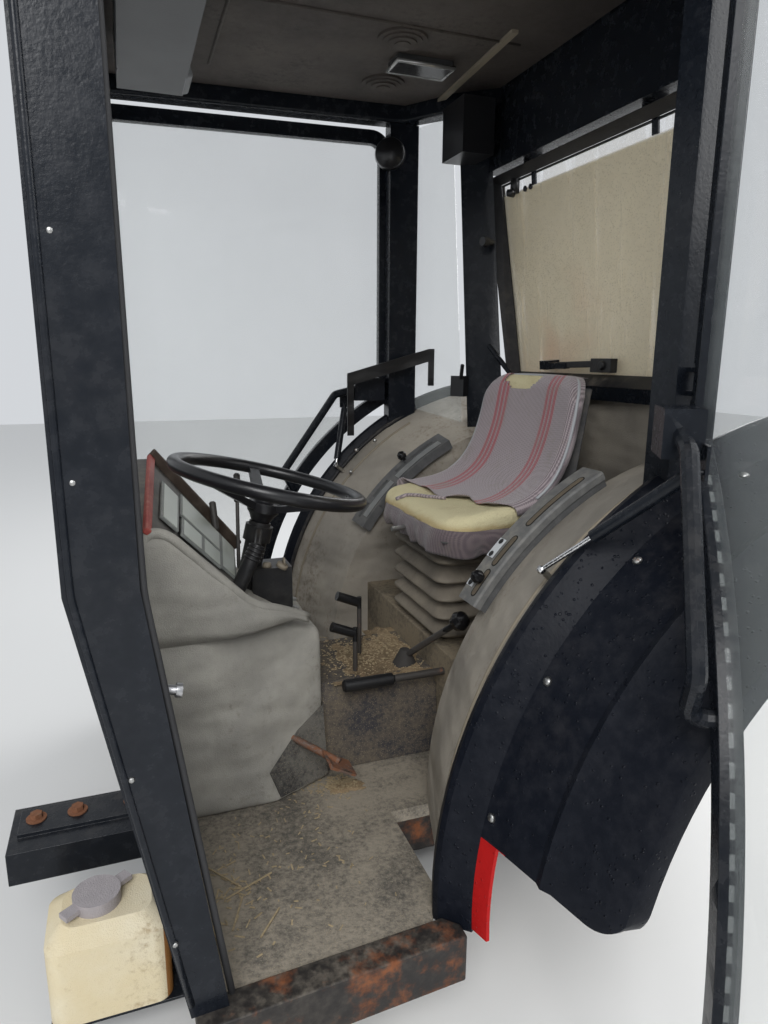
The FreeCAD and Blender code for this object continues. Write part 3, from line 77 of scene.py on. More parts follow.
class Wire:
    """A shader value. Arithmetic on it adds Math nodes to its graph."""

    def __init__(self, graph: "Graph", socket: bpy.types.NodeSocket) -> None:
        """Keep the graph and the socket that gives the value."""
        self.graph = graph
        self.socket = socket

    def math(self, operation: str, *others: "Wire | float") -> "Wire":
        """Add one Math node.

        Args:
            operation: Blender's name of the operation.
            others: The second and third values.

        Returns:
            The node's result.
        """
        return self.graph.node("ShaderNodeMath", {"operation": operation}, [self, *others])

    def __add__(self, other: "Wire | float") -> "Wire":
        """Add a value."""
        return self.math("ADD", other)

    def __radd__(self, other: float) -> "Wire":
        """Add this to a value."""
        return self.math("ADD", other)

    def __sub__(self, other: "Wire | float") -> "Wire":
        """Subtract a value."""
        return self.math("SUBTRACT", other)

    def __rsub__(self, other: float) -> "Wire":
        """Subtract this from a value."""
        return self.graph.node("ShaderNodeMath", {"operation": "SUBTRACT"}, [other, self])

    def __mul__(self, other: "Wire | float") -> "Wire":
        """Multiply by a value."""
        return self.math("MULTIPLY", other)

    def __rmul__(self, other: float) -> "Wire":
        """Multiply a value by this."""
        return self.math("MULTIPLY", other)

    def __truediv__(self, other: "Wire | float") -> "Wire":
        """Divide by a value."""
        return self.math("DIVIDE", other)

    def fade(self, low: float, high: float) -> "Wire":
        """Go smoothly from 0 at low to 1 at high.

        Args:
            low: Value that gives 0.
            high: Value that gives 1.

        Returns:
            The faded value.
        """
        settings = {"interpolation_type": "SMOOTHSTEP"}
        return self.graph.node("ShaderNodeMapRange", settings, [self, low, high, 0.0, 1.0])

    def clamp(self) -> "Wire":
        """Keep the value from 0 to 1."""
        return self.math("MINIMUM", 1.0).math("MAXIMUM", 0.0)


class Graph:
    """Node tree of one material."""

    def __init__(self, name: str) -> None:
        """Make an empty material.

        Args:
            name: Name of the material.
        """
        self.material = bpy.data.materials.new(name)
        self.material.use_nodes = True
        self.tree = self.material.node_tree
        self.shader = self.tree.nodes["Principled BSDF"]
        self.place = self.node("ShaderNodeTexCoord", {}, [], "Object")

    def node(self, kind: str, settings: dict, values: list, out: str | int = 0) -> Wire:
        """Add a node.

        Args:
            kind: Blender's type of the node.
            settings: Properties set before the sockets.
            values: A value or wire for each input in order; None leaves one as it is.
            out: Name or number of the output to return.

        Returns:
            The output.
        """
        made = self.tree.nodes.new(kind)
        for name, value in settings.items():
            setattr(made, name, value)
        inputs = [socket for socket in made.inputs if socket.enabled]
        for socket, value in zip(inputs, values):
            self.feed(socket, value)
        outputs = [socket for socket in made.outputs if socket.enabled]
        if isinstance(out, str):
            return Wire(self, next(socket for socket in outputs if socket.name == out))
        return Wire(self, outputs[out])

    def feed(self, socket: bpy.types.NodeSocket, value: object) -> None:
        """Link a wire to a socket, or set its value."""
        if isinstance(value, Wire):
            self.tree.links.new(value.socket, socket)
        elif value is not None:
            if isinstance(value, tuple) and len(value) == 3 and socket.type == "RGBA":
                value = (*value, 1.0)
            socket.default_value = value

    def set(self, **values: object) -> None:
        """Feed the shader's own sockets, named with underscores for spaces."""
        for name, value in values.items():
            self.feed(self.shader.inputs[name.replace("_", " ")], value)

    def stretched(self, scale: Point, turn: Point = (0, 0, 0)) -> Wire:
        """Object coordinates, scaled and turned."""
        return self.node("ShaderNodeMapping", {}, [self.place, (0, 0, 0), turn, scale])

    def noise(self, scale: float, detail: float = 4.0, rough: float = 0.55, at: "Wire | None" = None) -> Wire:
        """Cloudy noise from 0 to 1.

        Args:
            scale: Clouds in a metre.
            detail: Octaves.
            rough: Strength of the fine octaves.
            at: Coordinates in place of the object's own.

        Returns:
            The noise.
        """
        return self.node("ShaderNodeTexNoise", {}, [at or self.place, scale, detail, rough])

    def cells(self, scale: float, feature: str = "F1", at: "Wire | None" = None) -> Wire:
        """Distance to the nearest of scattered points."""
        return self.node("ShaderNodeTexVoronoi", {"feature": feature}, [at or self.place, scale])

    def mix(self, share: "Wire | float", low: "Wire | Colour", high: "Wire | Colour") -> Wire:
        """Blend two colours.

        Args:
            share: 0 gives low and 1 gives high.
            low: First colour.
            high: Second colour.

        Returns:
            The blend.
        """
        return self.node("ShaderNodeMix", {"data_type": "RGBA"}, [share, low, high])

    def axis(self, letter: str, source: "Wire | None" = None) -> Wire:
        """One coordinate of a vector, the object's own place by default."""
        return self.node("ShaderNodeSeparateXYZ", {}, [source or self.place], letter)

    def upward(self) -> Wire:
        """How much a face looks up, from -1 to 1."""
        return self.axis("Z", self.node("ShaderNodeNewGeometry", {}, [], "Normal"))

    def bump(self, height: Wire, deep: float, under: "Wire | None" = None) -> Wire:
        """A normal raised by a height.

        Args:
            height: Height from 0 to 1.
            deep: Depth of the relief in metres.
            under: A normal to raise further.

        Returns:
            The normal.
        """
        made = self.tree.nodes.new("ShaderNodeBump")
        made.inputs["Distance"].default_value = deep
        self.feed(made.inputs["Height"], height)
        if under is not None:
            self.feed(made.inputs["Normal"], under)
        return Wire(self, made.outputs[0])


@dataclass(frozen=True)
class Zone:
    """A block of space in which a piece has another colour, on both sides of the cab where mirrored."""

    low: Point
    high: Point
    colour: Colour
    rough: float = 0.4
    metal: float = 0.0
    mirrored: bool = False
    arch: tuple[float, float, float] | None = None

    def mask(self, graph: "Graph") -> Wire:
        """Give 1 inside the block and 0 outside.

        Args:
            graph: Material that uses the zone.

        Returns:
            The mask.
        """
        found: Wire | None = None
        for letter, low, high in zip("XYZ", self.low, self.high):
            place = graph.axis(letter)
            if letter == "Y" and self.mirrored:
                place = place.math("ABSOLUTE")
            inside = place.math("GREATER_THAN", low) * place.math("LESS_THAN", high)
            found = inside if found is None else found * inside
        if self.arch:
            x, z, radius = self.arch
            far = ((graph.axis("X") - x).math("POWER", 2.0) + (graph.axis("Z") - z).math("POWER", 2.0)).math("SQRT")
            found = found * far.math("GREATER_THAN", radius)
        return found


@dataclass(frozen=True)
class Finish:
    """A surface that is the same all over, apart from faint clouds and zones of another colour."""

    name: str
    colour: Colour
    rough: float = 0.5
    metal: float = 0.0
    zones: tuple[Zone, ...] = ()
    cloud_scale: float = 9.0
    shade: float = 0.8

    def zoned(self, graph: Graph, base: Wire, rough: "Wire | float") -> tuple[Wire, "Wire | float", "Wire | float"]:
        """Lay the zones over colour, roughness and metal.

        Args:
            graph: The material.
            base: Its colour.
            rough: Its roughness.

        Returns:
            Colour, roughness and metal with the zones in.
        """
        metal: Wire | float = self.metal
        for zone in self.zones:
            mask = zone.mask(graph)
            grain = graph.noise(60.0).fade(0.3, 0.8) * 0.3
            base = graph.mix(mask, base, graph.mix(grain, zone.colour, tuple(c * 0.55 for c in zone.colour)))
            rough = rough * (1.0 - mask) + mask * zone.rough if isinstance(rough, Wire) else (
                (1.0 - mask) * rough + mask * zone.rough)
            metal = metal * (1.0 - mask) + mask * zone.metal if isinstance(metal, Wire) else (
                (1.0 - mask) * metal + mask * zone.metal)
        return base, rough, metal

    def make(self) -> bpy.types.Material:
        """Build the material."""
        graph = Graph(self.name)
        clouds = graph.noise(self.cloud_scale)
        dark = tuple(c * self.shade for c in self.colour)
        base, rough, metal = self.zoned(graph, graph.mix(clouds, dark, self.colour),
                                        self.rough + (clouds - 0.5) * 0.15)
        graph.set(Base_Color=base, Metallic=metal, Roughness=rough, Normal=graph.bump(graph.noise(420.0, 1.0), 0.0002))
        return graph.material


@dataclass(frozen=True)
class Paint(Finish):
    """Satin paint with dust on what faces up, scuffs and rain drops."""

    dust: float = 0.4
    dust_colour: Colour = (0.23, 0.2, 0.16)
    drops: float = 0.0
    rust: float = 0.0
    gloss: float = 0.3

    def make(self) -> bpy.types.Material:
        """Build the material."""
        graph = Graph(self.name)
        clouds = graph.noise(3.0, 4.0, 0.6)
        grime = graph.noise(38.0, 4.0, 0.65)
        up = graph.upward().fade(0.15, 0.95)
        film = (clouds * grime).fade(0.18, 0.5)
        dust = ((up * 0.75 + 0.22) * film * self.dust).clamp()
        base = graph.mix(grime.fade(0.35, 0.75) * 0.4, self.colour, tuple(c * 1.8 + 0.004 for c in self.colour))
        base = graph.mix(dust, base, self.dust_colour)
        rough = self.rough + dust * 0.4 + (grime - 0.5) * 0.16
        normal = graph.bump(graph.noise(160.0, 2.0), 0.00035)
        if self.rust:
            patches = (graph.noise(11.0, 5.0, 0.7)).fade(0.62 - self.rust * 0.2, 0.72)
            base = graph.mix(patches, base, graph.mix(grime, (0.12, 0.035, 0.012), (0.32, 0.12, 0.05)))
            rough = rough + patches * 0.4
        if self.drops:
            beads = 1.0 - graph.cells(115.0).fade(0.12, 0.34)
            sown = graph.noise(60.0, 1.0).fade(0.5, 0.6) * self.drops
            normal = graph.bump(beads * sown, 0.0012, normal)
            rough = rough - beads * sown * 0.25
        base, rough, metal = self.zoned(graph, base, rough)
        graph.set(Base_Color=base, Metallic=metal, Roughness=rough.clamp(), Normal=normal,
                  Specular_IOR_Level=self.gloss)
        return graph.material


@dataclass(frozen=True)
class Vinyl(Finish):
    """Dusty embossed lining that sags in soft folds."""

    stain: Colour = (0.16, 0.12, 0.085)
    dust: Colour = (0.46, 0.41, 0.34)
    folds: float = 0.006

    def make(self) -> bpy.types.Material:
        """Build the material."""
        graph = Graph(self.name)
        clouds = graph.noise(4.0, 5.0, 0.62)
        streaks = graph.noise(6.0, 4.0, 0.6, graph.stretched((1.0, 1.0, 0.25)))
        fine = graph.noise(70.0, 3.0, 0.7)
        base = graph.mix(clouds.fade(0.3, 0.72), self.colour, self.dust)
        base = graph.mix((streaks * fine).fade(0.26, 0.5) * 0.75, base, self.stain)
        folds = graph.noise(5.0, 2.0, 0.5, graph.stretched((0.7, 0.7, 1.5)))
        grain = graph.cells(420.0)
        normal = graph.bump(folds, self.folds * 8)
        normal = graph.bump(grain, 0.0006, normal)
        base, rough, metal = self.zoned(graph, base, 0.72 + (fine - 0.5) * 0.2)
        graph.set(Base_Color=base, Roughness=rough, Metallic=metal, Normal=normal)
        return graph.material


@dataclass(frozen=True)
class Mat(Finish):
    """Rubber mat trodden full of dust and sawdust."""

    dust: Colour = (0.34, 0.29, 0.22)
    knurl: float = 160.0

    def make(self) -> bpy.types.Material:
        """Build the material."""
        graph = Graph(self.name)
        clouds = graph.noise(5.0, 5.0, 0.65)
        fine = graph.noise(90.0, 3.0, 0.75)
        spread = (clouds * 0.7 + fine * 0.45).fade(0.42, 0.68)
        base = graph.mix(spread, self.colour, self.dust)
        base = graph.mix(graph.cells(260.0).fade(0.0, 0.32), graph.mix(fine, (0.5, 0.4, 0.25), self.dust), base)
        checks = graph.node("ShaderNodeTexChecker", {}, [graph.place, None, None, self.knurl], "Fac")
        normal = graph.bump(checks, 0.0008)
        normal = graph.bump(fine, 0.002, normal)
        graph.set(Base_Color=base, Roughness=0.85, Normal=normal)
        return graph.material


@dataclass(frozen=True)
class Woven(Finish):
    """Woven seat cloth with groups of red stripes that run to the front."""

    stripe: Colour = (0.33, 0.022, 0.035)
    groups: tuple[float, ...] = (-0.118, 0.118)
    step: float = 0.0185
    wide: float = 0.0125

    def make(self) -> bpy.types.Material:
        """Build the material."""
        graph = Graph(self.name)
        across = graph.axis("Y")
        clouds = graph.noise(8.0, 4.0, 0.6)
        warp = graph.node("ShaderNodeTexWave", {"bands_direction": "Y"}, [graph.place, 49.0, 0.3])
        weft = graph.node("ShaderNodeTexWave", {"bands_direction": "DIAGONAL"}, [graph.place, 160.0, 0.4])
        thread = (warp * 0.65 + weft * 0.35).clamp()
        pale = graph.mix(clouds, tuple(c * 0.7 for c in self.colour), self.colour)
        base = graph.mix(thread.fade(0.25, 0.8) * 0.75, graph.mix(0.5, pale, (0.1, 0.075, 0.09)),
                         tuple(min(1.0, c * 1.5) for c in self.colour))
        lines: Wire | None = None
        for group in self.groups:
            for place in (-self.step, 0.0, self.step):
                near = (across - (group + place)).math("ABSOLUTE")
                line = 1.0 - near.fade(self.wide * 0.35, self.wide * 0.62)
                lines = line if lines is None else lines.math("MAXIMUM", line)
        if lines is not None:
            base = graph.mix(lines * (0.5 + weft * 0.45), base, self.stripe)
        base = graph.mix(graph.noise(14.0, 4.0, 0.7).fade(0.5, 0.75) * 0.5, base, (0.2, 0.165, 0.13))
        normal = graph.bump(thread, 0.0011)
        graph.set(Base_Color=base, Roughness=0.9, Normal=normal, Sheen_Weight=0.3, Sheen_Roughness=0.5)
        return graph.material


@dataclass(frozen=True)
class Foam(Finish):
    """Old open-cell foam, cream on top, going brown and then nearly black towards the bottom."""

    def make(self) -> bpy.types.Material:
        """Build the material."""
        graph = Graph(self.name)
        clouds = graph.noise(16.0, 5.0, 0.7)
        pits = graph.cells(520.0)
        base = graph.mix(clouds.fade(0.45, 0.85) * 0.45, self.colour, (0.5, 0.4, 0.19))
        # Darker towards the bottom of the pad: brown lower down, nearly black in the lowest band.
        low = (graph.axis("Z") + (clouds - 0.5) * 0.03).fade(0.7935, 0.777)
        base = graph.mix(low * 0.55, base, (0.5, 0.34, 0.12))
        bottom_dark = (graph.axis("Z") + (graph.noise(30.0) - 0.5) * 0.02).fade(0.777, 0.766)
        base = graph.mix(bottom_dark, base, (0.075, 0.04, 0.015))
        base = graph.mix((1.0 - pits.fade(0.05, 0.5)) * 0.25, base, (0.3, 0.2, 0.08))
        normal = graph.bump(pits, 0.002, graph.bump(clouds, 0.006))
        graph.set(Base_Color=base, Roughness=0.95, Normal=normal)
        return graph.material


@dataclass(frozen=True)
class Pane(Finish):
    """Clear glass, or glass fogged and beaded with damp, with painted sunrise light in the fog."""

    fog: float = 0.0

    def make(self) -> bpy.types.Material:
        """Build the material."""
        graph = Graph(self.name)
        haze = graph.noise(5.0, 4.0, 0.6)
        alpha: Wire | float = 0.13 + haze * 0.05
        base: Wire | Colour = self.colour
        normal = graph.bump(graph.noise(2.0, 1.0), 0.001)
        rough: Wire | float = 0.04 + haze * 0.03
        if self.fog:
            beads = 1.0 - graph.cells(190.0).fade(0.1, 0.36)
            runs = graph.noise(26.0, 3.0, 0.6, graph.stretched((1.0, 1.0, 0.06))).fade(0.56, 0.7)
            clear = (beads * 0.35 + runs * 0.5).clamp()
            band = graph.axis("Z").fade(1.648, 1.656) * 0.7
            alpha = (self.fog - clear * 0.45 + (haze - 0.5) * 0.25 - band).clamp()
            # Painted light: an orange glow of the sunrise behind the window, in clouds over the lower part of the
            # fogged glass.
            sunrise_glow = graph.noise(3.2, 2.0, 0.5).fade(0.45, 0.7) * graph.axis("Z").fade(1.45, 1.25)
            base = graph.mix(haze, tuple(c * 0.86 for c in self.colour), self.colour)
            base = graph.mix(sunrise_glow * 0.6, base, (0.78, 0.48, 0.3))
            normal = graph.bump(beads, 0.001)
            rough = 0.42 - clear * 0.3
        graph.set(Base_Color=base, Roughness=rough, Alpha=alpha, Normal=normal, IOR=1.5)
        return graph.material


@dataclass(frozen=True)
class Steel(Finish):
    """Bare steel with rust patches."""

    rust: float = 0.5

    def make(self) -> bpy.types.Material:
        """Build the material."""
        graph = Graph(self.name)
        grain = graph.noise(140.0, 3.0, 0.7)
        patches = graph.noise(22.0, 5.0, 0.7).fade(0.66 - 0.3 * self.rust, 0.72 - 0.2 * self.rust)
        rust = graph.mix(grain, (0.09, 0.035, 0.018), (0.3, 0.13, 0.065))
        base, rough, metal = self.zoned(graph, graph.mix(patches, self.colour, rust),
                                        (self.rough + patches * 0.5 + (grain - 0.5) * 0.2).clamp())
        if not self.zones:
            metal = 1.0 - patches
        graph.set(Base_Color=base, Metallic=metal, Roughness=rough, Normal=graph.bump(grain, 0.0008))
        return graph.material


AXLE = (-0.73, 0.25)
RED = (0.42, 0.012, 0.012)
JET = (0.009, 0.009, 0.01)
BLACK = Paint("black_paint", (0.007, 0.009, 0.013), 0.26, dust=0.14, gloss=0.24, zones=(
    Zone((0.49, 0.66, 0.69), (0.5535, 0.7449, 0.745), (0.45, 0.45, 0.46), 0.3, 0.9),))
WET_BLACK = Paint("wet_black_paint", (0.006, 0.0075, 0.012), 0.4, dust=0.08, drops=1.0, gloss=0.1, zones=(
    Zone((-0.05, 0.7365, 0.18), (0.12, 0.79, 0.3862), RED, 0.3, mirrored=True),))
DUSTY_BLACK = Paint("dusty_black_paint", (0.016, 0.016, 0.018), 0.5, dust=0.9)
RUSTY_BLACK = Paint("rusty_black_paint", (0.02, 0.018, 0.017), 0.5, dust=0.8, rust=0.6)
ROOF = Paint("roof_paint", (0.62, 0.6, 0.56), 0.45, dust=0.5, dust_colour=(0.3, 0.28, 0.22))
LINING = Vinyl("lining_vinyl", (0.27, 0.245, 0.21), 0.7, dust=(0.4, 0.36, 0.3), zones=(
    Zone((-0.46, -0.5895, 0.7), (-0.12, -0.5705, 1.3), JET, 0.4, arch=(*AXLE, 0.786)),
    Zone((-0.2, 0.62, 0.7), (-0.05, 0.65, 0.9), (0.3, 0.28, 0.24), 0.35, 0.8, True, (*AXLE, 0.806))))
COWL = Vinyl("cowl_vinyl", (0.26, 0.25, 0.225), 0.62, stain=(0.13, 0.11, 0.08), dust=(0.44, 0.42, 0.37), folds=0.005)
HEADLINER = Vinyl("headliner_vinyl", (0.045, 0.037, 0.033), 0.8, stain=(0.02, 0.018, 0.016),
                  dust=(0.09, 0.075, 0.065), folds=0.001)
MAT = Mat("floor_mat", (0.1, 0.092, 0.08), 0.9, dust=(0.33, 0.29, 0.23))
TUNNEL_MAT = Mat("tunnel_mat", (0.033, 0.033, 0.041), 0.8, dust=(0.135, 0.11, 0.08))
DECK_MAT = Mat("deck_mat", (0.1, 0.085, 0.065), 0.9, dust=(0.27, 0.22, 0.15))
PATCH = Mat("textured_patch", (0.045, 0.043, 0.042), 0.8, dust=(0.17, 0.16, 0.14), knurl=300.0)
RUBBER = Finish("black_rubber", (0.022, 0.022, 0.024), 0.7)
BELLOWS = Vinyl("dusty_rubber", (0.105, 0.09, 0.072), 0.6, stain=(0.03, 0.026, 0.023), dust=(0.25, 0.215, 0.165),
                folds=0.0)
MOULDED = Finish("black_plastic", (0.014, 0.014, 0.016), 0.3)
LEVERS = Steel("lever_steel", (0.05, 0.045, 0.041), 0.45, rust=0.25, zones=(
    Zone((-0.13, 0.03, 0.39), (-0.02, 0.15, 0.45), (0.04, 0.036, 0.033), 0.8),
    Zone((-0.19, 0.205, 0.525), (-0.11, 0.28, 0.6), JET, 0.18),
    Zone((-0.002, 0.18, 0.4), (0.14, 0.22, 0.44), JET, 0.4),
    Zone((0.012, -0.02, 0.53), (0.1, 0.02, 0.6), JET, 0.3),
    Zone((0.052, 0.07, 0.48), (0.14, 0.11, 0.56), JET, 0.3),
    Zone((0.27, -0.28, 0.71), (0.37, -0.2, 0.88), (0.06, 0.055, 0.05), 0.5)))
COLUMN = Paint("column_plastic", (0.015, 0.015, 0.016), 0.35, dust=0.35)
DASH = Paint("dash_plastic", (0.1, 0.096, 0.09), 0.6, dust=0.8, dust_colour=(0.27, 0.25, 0.21))
GREY = Paint("grey_plastic", (0.085, 0.086, 0.088), 0.5, dust=0.6, dust_colour=(0.22, 0.2, 0.17), zones=(
    Zone((-0.5, 0.35, 0.3), (0.0, 0.42, 1.0), JET, 0.18, mirrored=True, arch=(*AXLE, 0.762)),))
PALE_STRIP = Paint("pale_plastic", (0.36, 0.37, 0.37), 0.5, dust=0.5, dust_colour=(0.3, 0.28, 0.24))
SEAT_CLOTH = Woven("seat_cloth", (0.3, 0.255, 0.265), 0.9)
RAG = Woven("seat_rag", (0.1, 0.078, 0.08), 0.9, groups=())
PIPING = Finish("seat_piping", (0.42, 0.43, 0.45), 0.45)
FOAM = Foam("seat_foam", (0.74, 0.67, 0.42), 0.9)
CLEAR = Pane("clear_glass", (0.75, 0.8, 0.78), 0.05)
# Fogged pane: cream of the damp haze, made brighter as painted light shining through from behind.
FOGGED = Pane("fogged_glass", (0.92, 0.82, 0.6), 0.4, fog=0.86)
SHEET_STEEL = Steel("worn_steel", (0.26, 0.2, 0.17), 0.5, rust=0.8)
RUSTY = Steel("rusty_steel", (0.3, 0.2, 0.14), 0.6, rust=1.4)
ZINC = Steel("dull_zinc", (0.42, 0.42, 0.41), 0.4, rust=0.25)
BRIGHT = Steel("bright_steel", (0.72, 0.72, 0.73), 0.18, rust=0.0)
BOTTLE = Vinyl("bottle_plastic", (0.66, 0.56, 0.36), 0.45, stain=(0.3, 0.2, 0.09), dust=(0.74, 0.68, 0.53), folds=0.0,
               zones=(Zone((0.56, 0.3, 0.2302), (0.76, 0.66, 0.27), (0.36, 0.33, 0.34), 0.5),
                      Zone((0.53, 0.4, 0.05), (0.556, 0.56, 0.205), (0.3, 0.13, 0.03), 0.6)))
LAMP = Finish("lamp_lens", (0.05, 0.05, 0.052), 0.16)
CHROME = Finish("lamp_bezel", (0.55, 0.55, 0.54), 0.25, 0.7)
GAUGE = Finish("gauge_glass", (0.56, 0.6, 0.53), 0.3)
WHITE = Finish("white_plate", (0.62, 0.64, 0.66), 0.4)
TRIM_BEIGE = Finish("beige_trim", (0.28, 0.24, 0.18), 0.6)
GREY_FOAM = Finish("grey_foam", (0.3, 0.31, 0.32), 0.9)
RED_TRIM = Paint("red_trim", (0.3, 0.05, 0.04), 0.5, dust=1.2, dust_colour=(0.42, 0.22, 0.18))
CONSOLE_TOP = Paint("console_face", (0.12, 0.12, 0.118), 0.5, dust=1.2, dust_colour=(0.27, 0.255, 0.22))
SLOT_SHADOW = Finish("slot_shadow", (0.012, 0.011, 0.01), 0.9)
SLOT_DUST = Finish("slot_dust", (0.17, 0.135, 0.095), 0.95, cloud_scale=60.0, shade=0.4)
BROWN_TRIM = Paint("brown_trim", (0.05, 0.035, 0.026), 0.55, dust=0.8, dust_colour=(0.36, 0.32, 0.26))
FRAME_GREY = Paint("frame_plastic", (0.19, 0.2, 0.19), 0.5, dust=0.7, dust_colour=(0.36, 0.35, 0.31))
SEAT_SHELL = Paint("seat_steel", (0.05, 0.05, 0.052), 0.6, dust=0.9)
STRAW = Finish("straw", (0.62, 0.49, 0.3), 0.8, cloud_scale=160.0, shade=0.25)
SAWDUST = Mat("sawdust", (0.13, 0.09, 0.05), 0.95, dust=(0.33, 0.24, 0.14), knurl=500.0)


class Wardrobe:
    """Materials by finish, each made once."""

    def __init__(self) -> None:
        """Start with none made."""
        self.made: dict[str, bpy.types.Material] = {}

    def get(self, finish: Finish) -> bpy.types.Material:
        """Give a finish's material."""
        if finish.name not in self.made:
            self.made[finish.name] = finish.make()
        return self.made[finish.name]

    def dress(self, item: bpy.types.Object, finish: Finish) -> None:
        """Put one finish all over a piece.

        Args:
            item: The piece.
            finish: Its finish.
        """
        item.data.materials.clear()
        item.data.materials.append(self.get(finish))


WARDROBE = Wardrobe()


def piece(name: str, mesh: bmesh.types.BMesh, finish: Finish, body: str, smooth: bool = True,
          replaces: tuple[str, ...] = ()) -> bpy.types.Object:
    """Turn a finished bmesh into a piece of the cab.

    Args:
        name: Name of the piece.
        mesh: Its shape, in the cab's own frame.
        finish: What it is made of.
        body: The moving body it rides on.
        smooth: Shade it smooth.
        replaces: Plain solids that it stands for.

    Returns:
        The new object.
    """
    data = bpy.data.meshes.new(name)
    for face in mesh.faces:
        face.smooth = smooth
    mesh.to_mesh(data)
    mesh.free()
    item = bpy.data.objects.new(name, data)
    bpy.context.scene.collection.objects.link(item)
    WARDROBE.dress(item, finish)
    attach(item, body)
    if replaces:
        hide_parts(*replaces)
    LOG.info("%s: %d faces", name, len(data.polygons))
    return item


def finished(item: bpy.types.Object, kind: str, **settings: object) -> bpy.types.Object:
    """Add a modifier to a piece.

    Args:
        item: The piece.
        kind: Blender's type of the modifier.
        settings: Its properties.

    Returns:
        The piece.
    """
    made = item.modifiers.new(kind.lower(), kind)
    for name, value in settings.items():
        setattr(made, name, value)
    return item


def facing(at: Point, along: Point) -> Matrix:
    """Place whose Z runs along a direction."""
    return Matrix.Translation(at) @ Vector(along).to_track_quat("Z", "Y").to_matrix().to_4x4()


def drum(mesh: bmesh.types.BMesh, at: Point, along: Point, radius: float, high: float, sides: int = 24,
         top: float | None = None) -> None:
    """Add a round or many-sided block that stands on a point.

    Args:
        mesh: Mesh that takes it.
        at: Middle of its foot.
        along: The way it stands.
        radius: Radius at its foot.
        high: Its height.
        sides: How many sides it has.
        top: Radius at its top, the same as below if left out.
    """
    place = facing(at, along) @ Matrix.Translation((0, 0, high / 2))
    bmesh.ops.create_cone(mesh, cap_ends=True, segments=sides, radius1=radius,
                          radius2=radius if top is None else top, depth=high, matrix=place)


def block(mesh: bmesh.types.BMesh, middle: Point, size: Point, turn: Matrix | None = None) -> None:
    """Add a block of a size round its middle."""
    place = Matrix.Translation(middle) @ (turn or Matrix()) @ Matrix.Diagonal((*size, 1.0))
    bmesh.ops.create_cube(mesh, size=1.0, matrix=place)


def plate(mesh: bmesh.types.BMesh, corners: list[Point], thick: float) -> None:
    """Add a flat plate on a ring of corners, raised along its own normal."""
    face = mesh.faces.new([mesh.verts.new(corner) for corner in corners])
    face.normal_update()
    rise = face.normal * thick
    grown = bmesh.ops.extrude_face_region(mesh, geom=[face], use_keep_orig=True)["geom"]
    bmesh.ops.translate(mesh, vec=rise, verts=[v for v in grown if isinstance(v, bmesh.types.BMVert)])


def wedge(mesh: bmesh.types.BMesh, low: list[Point], high: list[Point]) -> None:
    """Add a block between two rings of four points, given in the same order."""
    made = bmesh.ops.create_cube(mesh, size=2.0)["verts"]
    order = ((-1, -1), (1, -1), (1, 1), (-1, 1))
    for vert in made:
        index = order.index((round(vert.co.x), round(vert.co.y)))
        vert.co = (high if vert.co.z > 0 else low)[index]


def sheet_grid(across: int, along: int, place: Callable[[float, float], Vector]) -> bmesh.types.BMesh:
    """A grid bent to a surface.

    Args:
        across: Cells one way.
        along: Cells the other way.
        place: Gives the point for two shares from 0 to 1.

    Returns:
        The bent grid.
    """
    mesh = bmesh.new()
    bmesh.ops.create_grid(mesh, x_segments=across, y_segments=along, size=0.5)
    for vert in mesh.verts:
        vert.co = place(vert.co.x + 0.5, vert.co.y + 0.5)
    return mesh


def tube(name: str, points: list[Point], radius: float, finish: Finish, body: str,
         closed: bool = False, bends: bool = True) -> bpy.types.Object:
    """A fixed round strip, seal or bar along a line.

    Args:
        name: Name of the piece.
        points: Points that guide it.
        radius: Its radius.
        finish: What it is made of.
        body: The moving body it rides on.
        closed: Join its ends.
        bends: Round its corners.

    Returns:
        The new object.
    """
    curve = bpy.data.curves.new(name, "CURVE")
    curve.dimensions = "3D"
    curve.bevel_depth = radius
    curve.bevel_resolution = 3
    curve.use_fill_caps = True
    spline = curve.splines.new("NURBS" if bends else "POLY")
    spline.points.add(len(points) - 1)
    for point, place in zip(spline.points, points):
        point.co = (*place, 1.0)
    spline.use_cyclic_u = closed
    if bends:
        spline.order_u = 3
        spline.use_endpoint_u = not closed
        spline.resolution_u = 6
    item = bpy.data.objects.new(name, curve)
    data = bpy.data.meshes.new_from_object(item)
    bpy.data.objects.remove(item)
    mesh = bmesh.new()
    mesh.from_mesh(data)
    bpy.data.meshes.remove(data)
    bmesh.ops.remove_doubles(mesh, verts=mesh.verts, dist=1e-6)
    return piece(name, mesh, finish, body)


